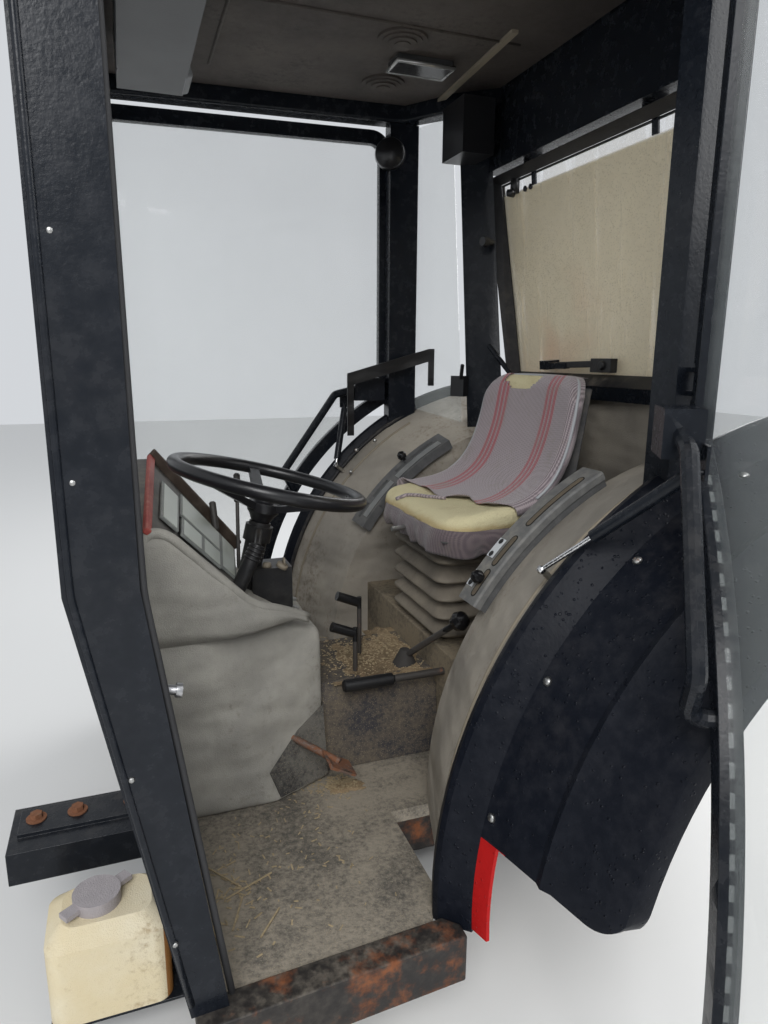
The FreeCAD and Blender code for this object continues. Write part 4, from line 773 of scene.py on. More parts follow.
@dataclass
class Panels:
    """Finish of every rigid solid that shows as it is."""

    finishes: dict[str, Finish] = field(default_factory=lambda: {
        "subframe": RUSTY_BLACK, "cab_mounts": RUBBER, "floor_pan": MAT, "sills": RUSTY_BLACK, "tunnel": TUNNEL_MAT,
        "seat_deck": DECK_MAT, "wheel_houses": LINING, "fenders": WET_BLACK, "a_posts": BLACK, "b_posts": BLACK,
        "roof_frame": BLACK, "rear_frame": BLACK, "rear_wall": LINING, "roof_shell": ROOF, "headliner": HEADLINER,
        "cab_lamp": LAMP, "roof_boxes": MOULDED, "windscreen": CLEAR, "quarter_glass": CLEAR, "front_wall": BLACK,
        "dash_cowl": COWL, "instrument_panel": DASH, "steering_wheel": MOULDED, "steering_column": COLUMN,
        "seat_shell": SEAT_SHELL, "seat_suspension": RUBBER, "seat_cushion": SEAT_CLOTH, "consoles": GREY,
        "hand_levers": LEVERS, "pedals": SHEET_STEEL, "washer_bottle": BOTTLE,
        "left_door_frame": BLACK, "left_door_glass": CLEAR, "left_door_rail": BLACK,
        "right_door_frame": BLACK, "right_door_glass": CLEAR, "right_door_rail": BLACK,
        "left_strut_tube": BLACK, "left_strut_rod": BRIGHT, "right_strut_tube": BLACK, "right_strut_rod": BRIGHT,
        "rear_window": FOGGED, "rear_window_fittings": BLACK, "rear_strut_tube": BLACK, "rear_strut_rod": BRIGHT,
    })

    rounding: dict[str, float] = field(default_factory=lambda: {
        "subframe": 0.004, "sills": 0.004, "a_posts": 0.007, "b_posts": 0.005, "roof_frame": 0.008,
        "rear_frame": 0.002, "roof_shell": 0.02, "roof_boxes": 0.028, "front_wall": 0.003,
        "instrument_panel": 0.006, "seat_deck": 0.004, "tunnel": 0.003, "consoles": 0.002,
        "left_door_frame": 0.004, "right_door_frame": 0.004, "left_door_rail": 0.0035, "right_door_rail": 0.0035,
        "steering_wheel": 0.003, "steering_column": 0.002, "pedals": 0.001, "cab_lamp": 0.005, "fenders": 0.0015,
        "rear_window_fittings": 0.002, "rear_wall": 0.004,
    })

    flat_sided: frozenset[str] = frozenset(("roof_boxes", "sills", "subframe", "seat_deck", "tunnel", "a_posts",
                                            "roof_shell", "roof_frame", "front_wall"))

    def build(self) -> None:
        """Dress each solid and soften its edges."""
        for name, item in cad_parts.items():
            WARDROBE.dress(item, self.finishes.get(name, BLACK))
            wide = self.rounding.get(name)
            if wide:
                finished(item, "WELD", merge_threshold=0.00001)
                if name in self.flat_sided:
                    finished(item, "DECIMATE", decimate_type="DISSOLVE", angle_limit=math.radians(0.5))
                finished(item, "BEVEL", width=wide, segments=3, limit_method="ANGLE",
                         angle_limit=math.radians(24.0), harden_normals=False)
            LOG.info("dressed %s", name)


@dataclass
class Seat:
    """Bucket seat: worn foam, torn woven cover, its hanging rag and piping, and the rubber bellows."""

    half: float = 0.236
    shift: float = 0.008
    thick: float = 0.05
    slim: float = 0.02
    front: Point = (-0.108, 0.0, 0.804)
    front_pull: Point = (-0.37, 0.0, 0.785)
    back_pull: Point = (-0.43, 0.0, 0.852)
    top: Point = (-0.462, 0.0, 1.124)
    corner: float = 0.08
    steps: int = 64

    def __post_init__(self) -> None:
        """Work out the line down the middle of the seat."""
        self.spine = interpolate_bezier(Vector(self.front), Vector(self.front_pull), Vector(self.back_pull),
                                        Vector(self.top), self.steps)
        lengths = [0.0]
        for before, after in zip(self.spine, self.spine[1:]):
            lengths.append(lengths[-1] + (after - before).length)
        self.lengths = lengths

    def along(self, far: float) -> tuple[Vector, Vector]:
        """Point and upward normal at a distance along the middle line.

        Args:
            far: Metres from the front edge; past the ends it goes straight on.

        Returns:
            The point and the normal.
        """
        total = self.lengths[-1]
        inside = min(max(far, 0.0), total)
        index = next(i for i in range(1, self.steps) if self.lengths[i] >= inside - 1e-9)
        start, end = self.spine[index - 1], self.spine[index]
        run = end - start
        share = (inside - self.lengths[index - 1]) / run.length
        run.normalize()
        point = start.lerp(end, share) + run * (far - inside)
        return point, Vector((-run.z, 0.0, run.x)) * (1.0 if -run.z > 0 or run.x > 0 else -1.0)

    def normal(self, far: float) -> Vector:
        """Direction from the foam towards the driver."""
        ahead = self.along(min(far + 0.004, self.lengths[-1]))[0] - self.along(max(far - 0.004, 0.0))[0]
        return Vector((ahead.z, 0.0, -ahead.x)).normalized()

    def width(self, far: float) -> float:
        """Half width at a distance along the middle line, with round corners at both ends."""
        total = self.lengths[-1]
        wide = self.half - 0.014 * min(max((far - 0.2) / 0.3, 0.0), 1.0)
        near = min(far, total - far)
        if near < self.corner:
            rest = self.corner - max(near, 0.0)
            wide -= self.corner - math.sqrt(max(self.corner ** 2 - rest ** 2, 0.0))
        return wide

    def surface(self, far: float, across: float, lift: float = 0.0) -> Vector:
        """A point on the seat.

        Args:
            far: Metres from the front edge along the middle.
            across: From -1 at the right edge to 1 at the left, and past them down the sides.
            lift: Metres off the foam.

        Returns:
            The point.
        """
        total = self.lengths[-1]
        middle = self.along(far)[0]
        normal = self.normal(far)
        inside = min(max(across, -1.0), 1.0)
        dish = 0.02 * abs(inside) ** 2.4 * min(1.0, far / 0.12) * min(1.0, (total - far) / 0.08 + 0.2)
        roll = 0.014 * max(0.0, (abs(inside) - 0.9) / 0.1) ** 2
        over = 0.02 * max(0.0, 1.0 - far / 0.05) ** 2 + 0.016 * max(0.0, 1.0 - (total - far) / 0.04) ** 2
        down = max(0.0, abs(across) - 1.0) * 0.3
        point = middle + normal * (dish - roll - over - down + lift)
        point.y = self.shift + inside * (self.width(far) + lift)
        return point

    def foam(self) -> bpy.types.Object:
        """Closed foam pad with a crowned top and soft edges."""
        total = self.lengths[-1]
        mesh = sheet_grid(30, 56, lambda u, v: self.surface(v * total, u * 2 - 1))
        grown = bmesh.ops.extrude_face_region(mesh, geom=list(mesh.faces), use_keep_orig=True)["geom"]
        lower = [v for v in grown if isinstance(v, bmesh.types.BMVert)]
        for vert in lower:
            near = min(range(self.steps), key=lambda i: (self.spine[i] - Vector((vert.co.x, 0, vert.co.z))).length)
            bent = min(max((self.lengths[near] - 0.16) / 0.12, 0.0), 1.0)
            vert.co -= self.normal(self.lengths[near]) * (self.thick + (self.slim - self.thick) * bent)
            vert.co.y = self.shift + (vert.co.y - self.shift) * 0.97
        bmesh.ops.recalc_face_normals(mesh, faces=mesh.faces)
        item = piece("seat_foam_pad", mesh, FOAM, "root", replaces=("seat_cushion",))
        finished(item, "SUBSURF", levels=1, render_levels=1)
        return item

    def torn(self, across: float) -> float:
        """Distance from the front at which the torn cover starts."""
        return 0.075 + 0.095 * (across + 1.0) / 2 + 0.012 * math.sin(across * 7.0) + 0.006 * noise.noise(
            (across * 9.0, 0.3, 0.7))

    def cover(self) -> bpy.types.Object:
        """Woven cover, torn across the front and at the top of the back."""
        total = self.lengths[-1]
        hem = 0.03

        def place(u: float, v: float) -> Vector:
            """Point of the cover for two shares."""
            across = (u * 2 - 1) * 1.05
            start = self.torn(min(max(across, -1.0), 1.0))
            far = start + (total + hem - start) * v
            curl = 0.012 * max(0.0, 1.0 - (far - start) / 0.03) ** 2 * (0.5 + 0.5 * math.sin(across * 11.0))
            point = self.surface(min(far, total), across, 0.0035 + curl)
            wave = noise.noise((across * 2.2, far * 9.0, 0.0)) * 0.0025
            point += self.normal(min(far, total)) * wave
            if far > total:
                point -= self.normal(total) * (far - total) * 1.1
            return point

        mesh = sheet_grid(64, 84, place)
        middle = Vector((0.0, -0.045, 0.0))
        gone = []
        for face in mesh.faces:
            spot = face.calc_center_median()
            reach = ((spot.y - middle.y) / 0.085) ** 2 + ((spot.z - 1.124) / 0.042) ** 2
            if spot.z > 1.05 and reach < 1.0 + 0.2 * noise.noise((spot.y * 60, spot.z * 60, 0.0)):
                gone.append(face)
        bmesh.ops.delete(mesh, geom=gone, context="FACES")
        bmesh.ops.recalc_face_normals(mesh, faces=mesh.faces)
        area = sum(face.calc_area() for face in mesh.faces)
        LOG.info("cover area %.3f m2", area)
        item = piece("seat_cover", mesh, SEAT_CLOTH, "root")
        finished(item, "SOLIDIFY", thickness=0.002, offset=1.0)
        return item

    def rag(self) -> bpy.types.Object:
        """Torn front of the cover, hanging under the foam's front and left edges."""
        def place(u: float, v: float) -> Vector:
            """Point of the rag for two shares."""
            turn = (u * 2 - 1)
            wide = self.half - 0.006
            if u < 0.55:
                share = u / 0.55
                x = self.front[0] + 0.004 - 0.02 * (1 - share) * 0.0
                y = -wide * 0.62 + (wide * 1.62 - self.corner) * share
                out = Vector((1.0, 0.0, 0.0))
            elif u < 0.68:
                angle = (u - 0.55) / 0.13 * math.pi / 2
                x = self.front[0] + 0.004 - self.corner + self.corner * math.cos(angle)
                y = wide - self.corner + self.corner * math.sin(angle)
                out = Vector((math.cos(angle), math.sin(angle), 0.0))
            else:
                x = self.front[0] + 0.004 - self.corner - (u - 0.68) / 0.32 * 0.16
                y = wide
                out = Vector((0.0, 1.0, 0.0))
            ragged = 0.5 + 0.5 * noise.noise((u * 13.0, 1.7, 0.2)) + 0.25 * math.sin(u * 40.0)
            drop = 0.035 + 0.02 * math.sin(u * math.pi) + 0.012 * ragged
            wave = 0.004 * math.sin(u * 60.0) * v + 0.006 * noise.noise((u * 8.0, v * 2.0, 0.4))
            point = Vector((x - 0.002, y + self.shift, self.front[2] - 0.029 - drop * v))
            return point + out * (0.002 + 0.006 * math.sin(v * math.pi) + wave) - Vector((0, 0, 0.01)) * abs(turn) * v

        mesh = sheet_grid(110, 9, place)
        bmesh.ops.recalc_face_normals(mesh, faces=mesh.faces)
        area = sum(face.calc_area() for face in mesh.faces)
        item = piece("seat_rag", mesh, RAG, "root")
        finished(item, "SOLIDIFY", thickness=0.0022, offset=0.0)
        return item

    def trimmings(self) -> None:
        """Piping round the back, a twisted strip of torn cloth and the slide bar's end under the pan."""
        total = self.lengths[-1]
        rows = [0.24 + 0.02 * i for i in range(int((total - 0.24) / 0.02))] + [total - 0.03, total - 0.012, total]
        left = [self.surface(far, 1.0, 0.005) for far in rows]
        right = [self.surface(far, -1.0, 0.005) for far in reversed(rows)]
        tube("seat_piping", [tuple(p) for p in left + right], 0.0038, PIPING, "root")
        strip = [self.surface(0.006 + 0.013 * i, -0.5 + 0.06 * i + 0.03 * (i % 2), 0.005) for i in range(9)]
        tube("torn_strip", [tuple(p) for p in strip], 0.005, SEAT_CLOTH, "root")
        mesh = sheet_grid(1, 1, lambda u, v: Vector((0.0, 0.0, 0.0)))
        mesh.clear()
        edge = [(-0.112, 0.748), (-0.385, 0.748), (-0.447, 0.812), (-0.489, 1.095)]
        ring = [mesh.verts.new((x, -0.222, z)) for x, z in edge]
        lines = [mesh.edges.new(pair) for pair in zip(ring, ring[1:])]
        grown = bmesh.ops.extrude_edge_only(mesh, edges=lines)["geom"]
        bmesh.ops.translate(mesh, vec=(0.0, 0.444, 0.0), verts=[v for v in grown if isinstance(v, bmesh.types.BMVert)])
        creases = [e for e in mesh.edges if abs(e.verts[0].co.y - e.verts[1].co.y) > 0.3 and not e.is_boundary]
        bmesh.ops.bevel(mesh, geom=creases, offset=0.05, offset_type="OFFSET", segments=6, profile=0.5,
                        affect="EDGES", clamp_overlap=True, material=-1)
        item = piece("seat_pan_shell", mesh, SEAT_SHELL, "root", replaces=("seat_shell",))
        finished(item, "SOLIDIFY", thickness=0.003, offset=0.0)
        mesh = bmesh.new()
        drum(mesh, (-0.135, -0.17, 0.757), (0.3, 0.0, -1.0), 0.007, 0.05, 12)
        drum(mesh, (-0.115, 0.02, 0.742), (1.0, 0.2, 0.0), 0.006, 0.06, 12)
        block(mesh, (-0.128, 0.03, 0.742), (0.03, 0.02, 0.02))
        piece("seat_slide_ends", mesh, ZINC, "root", smooth=False)

    def bellows(self) -> bpy.types.Object:
        """Rubber bellows of rounded folds between deck and pan."""
        low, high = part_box("seat_suspension")
        folds = 6
        middle = (low + high) * 0.5
        half = (high - low) * 0.5
        bend = 0.035

        def place(u: float, v: float) -> Vector:
            """Point of the bellows for two shares."""
            phase = (v * folds) % 1.0 if v < 1.0 else 0.0
            bulge = min(1.0, (1.0 - abs(2.0 * phase - 1.0)) * 1.12) ** 0.85
            inset = 0.03 * (1.0 - bulge)
            hx, hy = half.x - inset, half.y - inset
            sides = [2 * (hx - bend), math.pi * bend / 2, 2 * (hy - bend), math.pi * bend / 2] * 2
            far = u * sum(sides)
            at, heading = Vector((-(hx - bend), -hy, 0.0)), 0.0
            for index, long in enumerate(sides):
                step = min(far, long)
                if index % 2 == 0:
                    at += Vector((math.cos(heading), math.sin(heading), 0.0)) * step
                else:
                    turn = step / bend
                    side = Vector((-math.sin(heading), math.cos(heading), 0.0))
                    ahead = Vector((math.cos(heading), math.sin(heading), 0.0))
                    at += ahead * math.sin(turn) * bend + side * (1 - math.cos(turn)) * bend
                    heading += turn
                far -= step
                if far <= 0:
                    break
            sag = 0.006 * math.sin(v * math.pi)
            return Vector((middle.x + at.x, at.y, low.z + (high.z - low.z) * v - sag * bulge))

        mesh = sheet_grid(96, 96, place)
        bmesh.ops.remove_doubles(mesh, verts=mesh.verts, dist=0.0004)
        rims = [e for e in mesh.edges if e.is_boundary]
        bmesh.ops.holes_fill(mesh, edges=rims, sides=200)
        bmesh.ops.recalc_face_normals(mesh, faces=mesh.faces)
        item = piece("seat_bellows", mesh, BELLOWS, "root", replaces=("seat_suspension",))
        return item

    def build(self) -> None:
        """Make every soft piece of the seat."""
        self.foam()
        self.cover()
        self.rag()
        self.trimmings()
        self.bellows()


@dataclass
class Dash:
    """Soft vinyl over the cowl, gauges, textured patch and the small fittings round the column."""

    grain: float = 0.007
    rear: float = 0.165
    floor: float = 0.2
    top: float = 0.64
    near_low: Point = (0.368, 0.236, 0.675)
    near_top: Point = (0.535, 0.262, 0.838)
    far_low: Point = (0.302, -0.262, 0.655)
    far_top: Point = (0.503, -0.268, 0.905)

    def cover(self) -> bpy.types.Object:
        """Vinyl skin over the cowl, rounded and sagging in shallow folds."""
        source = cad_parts["dash_cowl"]
        data = bpy.data.meshes.new("cowl_work")
        mesh = bmesh.new()
        mesh.from_mesh(source.data)
        bmesh.ops.remove_doubles(mesh, verts=mesh.verts, dist=1e-5)
        mesh.to_mesh(data)
        mesh.free()
        work = bpy.data.objects.new("cowl_work", data)
        bpy.context.scene.collection.objects.link(work)
        finished(work, "REMESH", mode="VOXEL", voxel_size=self.grain, use_smooth_shade=True)
        finished(work, "SMOOTH", factor=0.8, iterations=9)
        shown = bpy.data.meshes.new_from_object(work.evaluated_get(bpy.context.evaluated_depsgraph_get()))
        bpy.data.objects.remove(work)
        mesh = bmesh.new()
        mesh.from_mesh(shown)
        bpy.data.meshes.remove(shown)
        mesh.normal_update()
        for vert in mesh.verts:
            spot = vert.co
            sag = noise.noise((spot.x * 6.0, spot.y * 5.0, spot.z * 6.5)) * 0.006
            crease = -0.006 * max(0.0, 1.0 - abs(spot.z - 0.36 - 0.35 * (spot.x - self.rear)) / 0.02)
            if spot.z > self.top - 0.008 or spot.z < self.floor + 0.01 or spot.x > 0.42:
                sag, crease = 0.0, 0.0
            vert.co = spot + vert.normal * (sag + crease * 0.6)
        return piece("cowl_cover", mesh, COWL, "root", replaces=("dash_cowl",))

    def corner(self, share: float, high: float, off: float) -> Point:
        """Point on the slanted left corner of the cowl.

        Args:
            share: 0 at its rear edge and 1 at its side edge.
            high: Height in metres.
            off: Distance in front of the skin.

        Returns:
            The point.
        """
        rise = (high - self.floor) / (self.top - self.floor)
        rear = Vector((self.rear, 0.21 - 0.077 * rise, high))
        side = Vector((0.3 + 0.173 * rise, 0.27, high))
        return tuple(rear.lerp(side, share) + Vector((-0.4, 0.9, 0.14)).normalized() * off)

    def patch(self) -> None:
        """Textured rubber patch low on the corner, and the tear and ring on the rear face."""
        mesh = bmesh.new()
        corners = [self.corner(0.03, 0.212, 0.004), self.corner(0.9, 0.212, 0.004), self.corner(0.9, 0.275, 0.004),
                   self.corner(0.4, 0.34, 0.004), self.corner(0.03, 0.375, 0.004)]
        plate(mesh, corners, 0.003)
        piece("cowl_patch", mesh, PATCH, "root", smooth=False)
        mesh = bmesh.new()
        drum(mesh, (self.rear + 0.002, 0.012, 0.5), (-1.0, 0.0, 0.1), 0.011, 0.005, 20)
        block(mesh, (self.rear - 0.0015, 0.075, 0.475), (0.003, 0.03, 0.007), Matrix.Rotation(0.7, 4, "X"))
        piece("cowl_ring", mesh, RUBBER, "root")

    def face(self, share: float, across: float, off: float) -> Vector:
        """Point on the sloping gauge face.

        Args:
            share: 0 at its low edge and 1 at its top edge.
            across: 0 at its left edge and 1 at its right edge.
            off: Distance off the face.

        Returns:
            The point.
        """
        corners = [Vector(c) for c in (self.near_low, self.near_top, self.far_low, self.far_top)]
        out = (corners[1] - corners[0]).cross(corners[2] - corners[0]).normalized()
        low = corners[0].lerp(corners[2], across)
        top = corners[1].lerp(corners[3], across)
        return low.lerp(top, share) + out * (off if out.z > 0 else -off)

    def panel(self) -> None:
        """Body of the gauge panel, its red top edge, raised right rim and the vinyl shoulder beside it."""
        mesh = bmesh.new()
        bmesh.ops.create_cube(mesh, size=1.0)
        places = {(-1, 1, -1): (0.36, 0.236, 0.6), (1, 1, -1): (0.566, 0.262, 0.6),
                  (-1, -1, -1): (0.31, -0.262, 0.6), (1, -1, -1): (0.566, -0.268, 0.6),
                  (-1, 1, 1): self.near_low, (1, 1, 1): self.near_top,
                  (-1, -1, 1): self.far_low, (1, -1, 1): self.far_top}
        for vert in mesh.verts:
            vert.co = places[tuple(1 if c > 0 else -1 for c in vert.co)]
        back = [v for v in mesh.verts if v.co.x > 0.5]
        faces = [f for f in mesh.faces if all(v in back for v in f.verts)]
        grown = bmesh.ops.extrude_face_region(mesh, geom=faces)["geom"]
        for vert in grown:
            if isinstance(vert, bmesh.types.BMVert):
                vert.co.x = 0.578
        bmesh.ops.recalc_face_normals(mesh, faces=mesh.faces)
        item = piece("gauge_panel", mesh, DASH, "root", smooth=False, replaces=("instrument_panel",))
        finished(item, "BEVEL", width=0.004, segments=2, limit_method="ANGLE", angle_limit=math.radians(30.0))
        strips = bmesh.new()
        spots = ((0.965, -0.02), (1.03, -0.02), (1.03, 1.0), (0.965, 1.0))
        wedge(strips, [self.face(*spot, -0.004) for spot in spots], [self.face(*spot, 0.01) for spot in spots])
        bmesh.ops.recalc_face_normals(strips, faces=strips.faces)
        item = piece("panel_edge", strips, RED_TRIM, "root", smooth=False)
        finished(item, "BEVEL", width=0.004, segments=3, limit_method="ANGLE")
        rim = bmesh.new()
        spots = ((-0.04, 0.985), (1.03, 0.985), (1.03, 1.015), (-0.04, 1.015))
        wedge(rim, [self.face(*spot, -0.004) for spot in spots], [self.face(*spot, 0.026) for spot in spots])
        bmesh.ops.recalc_face_normals(rim, faces=rim.faces)
        item = piece("panel_rim", rim, BROWN_TRIM, "root", smooth=False)
        finished(item, "BEVEL", width=0.005, segments=3, limit_method="ANGLE")
        line = [(0.552, 0.266, 0.80), (0.54, 0.266, 0.834), (0.5, 0.266, 0.834), (0.455, 0.266, 0.786),
                (0.385, 0.263, 0.715), (0.335, 0.25, 0.66), (0.265, 0.212, 0.63), (0.2, 0.178, 0.592)]

        def skin(u: float, v: float) -> Vector:
            """Point of the shoulder for shares along and down it."""
            far = u * (len(line) - 1)
            index = min(int(far), len(line) - 2)
            top = Vector(line[index]).lerp(Vector(line[index + 1]), far - index)
            foot = Vector((top.x, top.y + 0.004, min(0.6, top.z - 0.01)))
            return top.lerp(foot, v) + Vector((0.0, 0.006 * math.sin(v * math.pi), 0.0))

        side = sheet_grid(42, 8, skin)
        bmesh.ops.recalc_face_normals(side, faces=side.faces)
        item = piece("cowl_shoulder", side, COWL, "root")
        finished(item, "SOLIDIFY", thickness=0.004, offset=0.0)
        roll = [(0.55, 0.262, 0.80), (0.54, 0.262, 0.832), (0.5, 0.262, 0.832), (0.455, 0.26, 0.784),
                (0.385, 0.258, 0.713), (0.335, 0.243, 0.658), (0.265, 0.205, 0.628), (0.2, 0.17, 0.59)]
        tube("cowl_roll", roll, 0.011, COWL, "root")

    def gauges(self) -> None:
        """Pale windows in raised frames on the gauge face."""
        frames, panes = bmesh.new(), bmesh.new()
        windows = ((0.70, 0.85, 0.27, 0.76), (0.2, 0.64, 0.54, 0.86), (0.42, 0.62, 0.27, 0.48),
                   (0.2, 0.38, 0.27, 0.48), (0.02, 0.16, 0.3, 0.86))
        rim = 0.024
        for low, high, near, far in windows:
            for mesh, grow, off, thick in ((frames, 1.0, 0.0008, 0.006), (panes, 0.0, 0.006, 0.002)):
                under, over = low - rim * grow, high + rim * grow
                left, right = near - rim * 0.7 * grow, far + rim * 0.7 * grow
                ring = [self.face(under, left, off), self.face(under, right, off),
                        self.face(over, right, off), self.face(over, left, off)]
                plate(mesh, [tuple(p) for p in ring], thick)
        for mesh in (frames, panes):
            bmesh.ops.recalc_face_normals(mesh, faces=mesh.faces)
        item = piece("gauge_frames", frames, FRAME_GREY, "root", smooth=False)
        finished(item, "BEVEL", width=0.0015, segments=2, limit_method="ANGLE")
        piece("gauge_windows", panes, GAUGE, "root", smooth=False)

    def column(self) -> None:
        """Ribs on the shuttle grip, rim skin and cap of the wheel, and the key switch."""
        mesh = bmesh.new()
        top, low = Vector((0.298, 0.128, 0.756)), Vector((0.350, 0.138, 0.657))
        run = (low - top).normalized()
        for index in range(4):
            drum(mesh, tuple(top + run * (0.004 + 0.009 * index)), tuple(run), 0.0195, 0.0045, 24)
        drum(mesh, tuple(low), tuple(run), 0.017, 0.009, 24, 0.008)
        piece("grip_ribs", mesh, MOULDED, "root")
        mesh = bmesh.new()
        drum(mesh, (0.232, 0.052, 0.676), (-0.5, 0.2, 1.0), 0.014, 0.01, 20)
        block(mesh, (0.226, 0.055, 0.69), (0.004, 0.016, 0.018))
        drum(mesh, (0.262, 0.03, 0.672), (0.0, 0.0, 1.0), 0.012, 0.012, 16, 0.009)
        piece("key_switch", mesh, TRIM_BEIGE, "root")
        mesh = bmesh.new()
        for x, y in ((0.208, 0.09), (0.226, 0.112), (0.2, -0.06), (0.238, -0.085), (0.2, 0.03)):
            drum(mesh, (x, y, 0.5825), (-0.25, 0.0, 1.0), 0.0085, 0.006, 6)
        piece("cowl_nuts", mesh, ZINC, "root", smooth=False)
        lean = math.radians(14.0)
        axis = Vector((-math.sin(lean), 0.0, math.cos(lean)))
        centre = Vector((0.245, 0.0, 0.876))
        mesh = bmesh.new()
        ring = bmesh.ops.create_circle(mesh, segments=20, radius=0.0162,
                                       matrix=Matrix.Translation((0.222, 0, 0)) @ Matrix.Rotation(math.pi / 2, 4, "X"))
        bmesh.ops.spin(mesh, geom=ring["verts"] + list(mesh.edges), cent=(0, 0, 0), axis=(0, 0, 1),
                       angle=2 * math.pi, steps=112, use_merge=True)
        place = facing(tuple(centre), tuple(axis))
        bmesh.ops.transform(mesh, matrix=place, verts=mesh.verts)
        bmesh.ops.remove_doubles(mesh, verts=mesh.verts, dist=1e-5)
        bmesh.ops.recalc_face_normals(mesh, faces=mesh.faces)
        piece("wheel_rim_grip", mesh, MOULDED, "steering_wheel")
        mesh = bmesh.new()
        hub = centre - axis * 0.032
        drum(mesh, tuple(hub), tuple(axis), 0.031, 0.003, 48)
        drum(mesh, tuple(hub + axis * 0.003), tuple(axis), 0.024, 0.002, 48, 0.021)
        piece("wheel_cap", mesh, MOULDED, "steering_wheel")

    def build(self) -> None:
        """Make every piece of the dash."""
        self.cover()
        self.patch()
        self.panel()
        self.gauges()
        self.column()


@dataclass
class Roof:
    """Round vents, lamp bezel, seams, trim strip, visor foam and the brackets on the rear corner."""

    ceiling: float = 1.935

    def build(self) -> None:
        """Make every piece under the roof."""
        vents = bmesh.new()
        for x, y in ((-0.205, -0.46), (-0.15, -0.17)):
            for radius, deep in ((0.062, 0.006), (0.05, 0.010), (0.036, 0.014), (0.02, 0.017)):
                drum(vents, (x, y, self.ceiling), (0.0, 0.0, -1.0), radius, deep, 40)
        piece("roof_vents", vents, HEADLINER, "root", smooth=False)
        low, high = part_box("cab_lamp")
        corners = [(low.x, low.y), (high.x, low.y), (high.x, high.y), (low.x, high.y)]
        ring = [(x, y, low.z + 0.004) for x, y in corners]
        tube("lamp_bezel", ring, 0.006, CHROME, "root", closed=True, bends=False)
        tube("headliner_seam", [(0.36, -0.1, self.ceiling - 0.001), (0.0, -0.1, self.ceiling - 0.001),
                                (-0.44, -0.1, self.ceiling - 0.001)], 0.004, HEADLINER, "root",
             bends=False)
        tube("headliner_cross_seam", [(0.28, -0.5, self.ceiling - 0.001), (0.28, 0.5, self.ceiling - 0.001)], 0.004,
             HEADLINER, "root", bends=False)
        mesh = bmesh.new()
        block(mesh, (-0.4, -0.28, self.ceiling - 0.004), (0.018, 0.5, 0.008), Matrix.Rotation(-0.06, 4, "Z"))
        piece("roof_trim_strip", mesh, TRIM_BEIGE, "root", smooth=False)
        mesh = bmesh.new()
        block(mesh, (0.365, -0.35, 1.855), (0.025, 0.13, 0.07), Matrix.Rotation(0.25, 4, "Y"))
        item = piece("visor_foam", mesh, GREY_FOAM, "root", smooth=False)
        finished(item, "BEVEL", width=0.008, segments=3)
        mesh = bmesh.new()
        drum(mesh, (-0.30, -0.652, 1.80), (0.4, 0.9, -0.1), 0.05, 0.03, 40, 0.044)
        drum(mesh, (-0.30, -0.652, 1.80), (-0.4, -0.9, 0.1), 0.05, 0.004, 40, 0.04)
        piece("post_knob", mesh, MOULDED, "root")
        mesh = bmesh.new()
        drum(mesh, (-0.530, -0.372, 1.507), (1.0, 0.3, 0.0), 0.009, 0.03, 16)
        drum(mesh, (-0.505, -0.364, 1.507), (1.0, 0.3, 0.0), 0.016, 0.018, 24, 0.013)
        drum(mesh, (-0.46, -0.42, 1.10), (0.2, 0.6, 1.0), 0.006, 0.05, 12)
        block(mesh, (-0.478, -0.452, 1.075), (0.05, 0.05, 0.065), Matrix.Rotation(0.5, 4, "Z"))
        piece("corner_switch_box", mesh, MOULDED, "root", smooth=False)


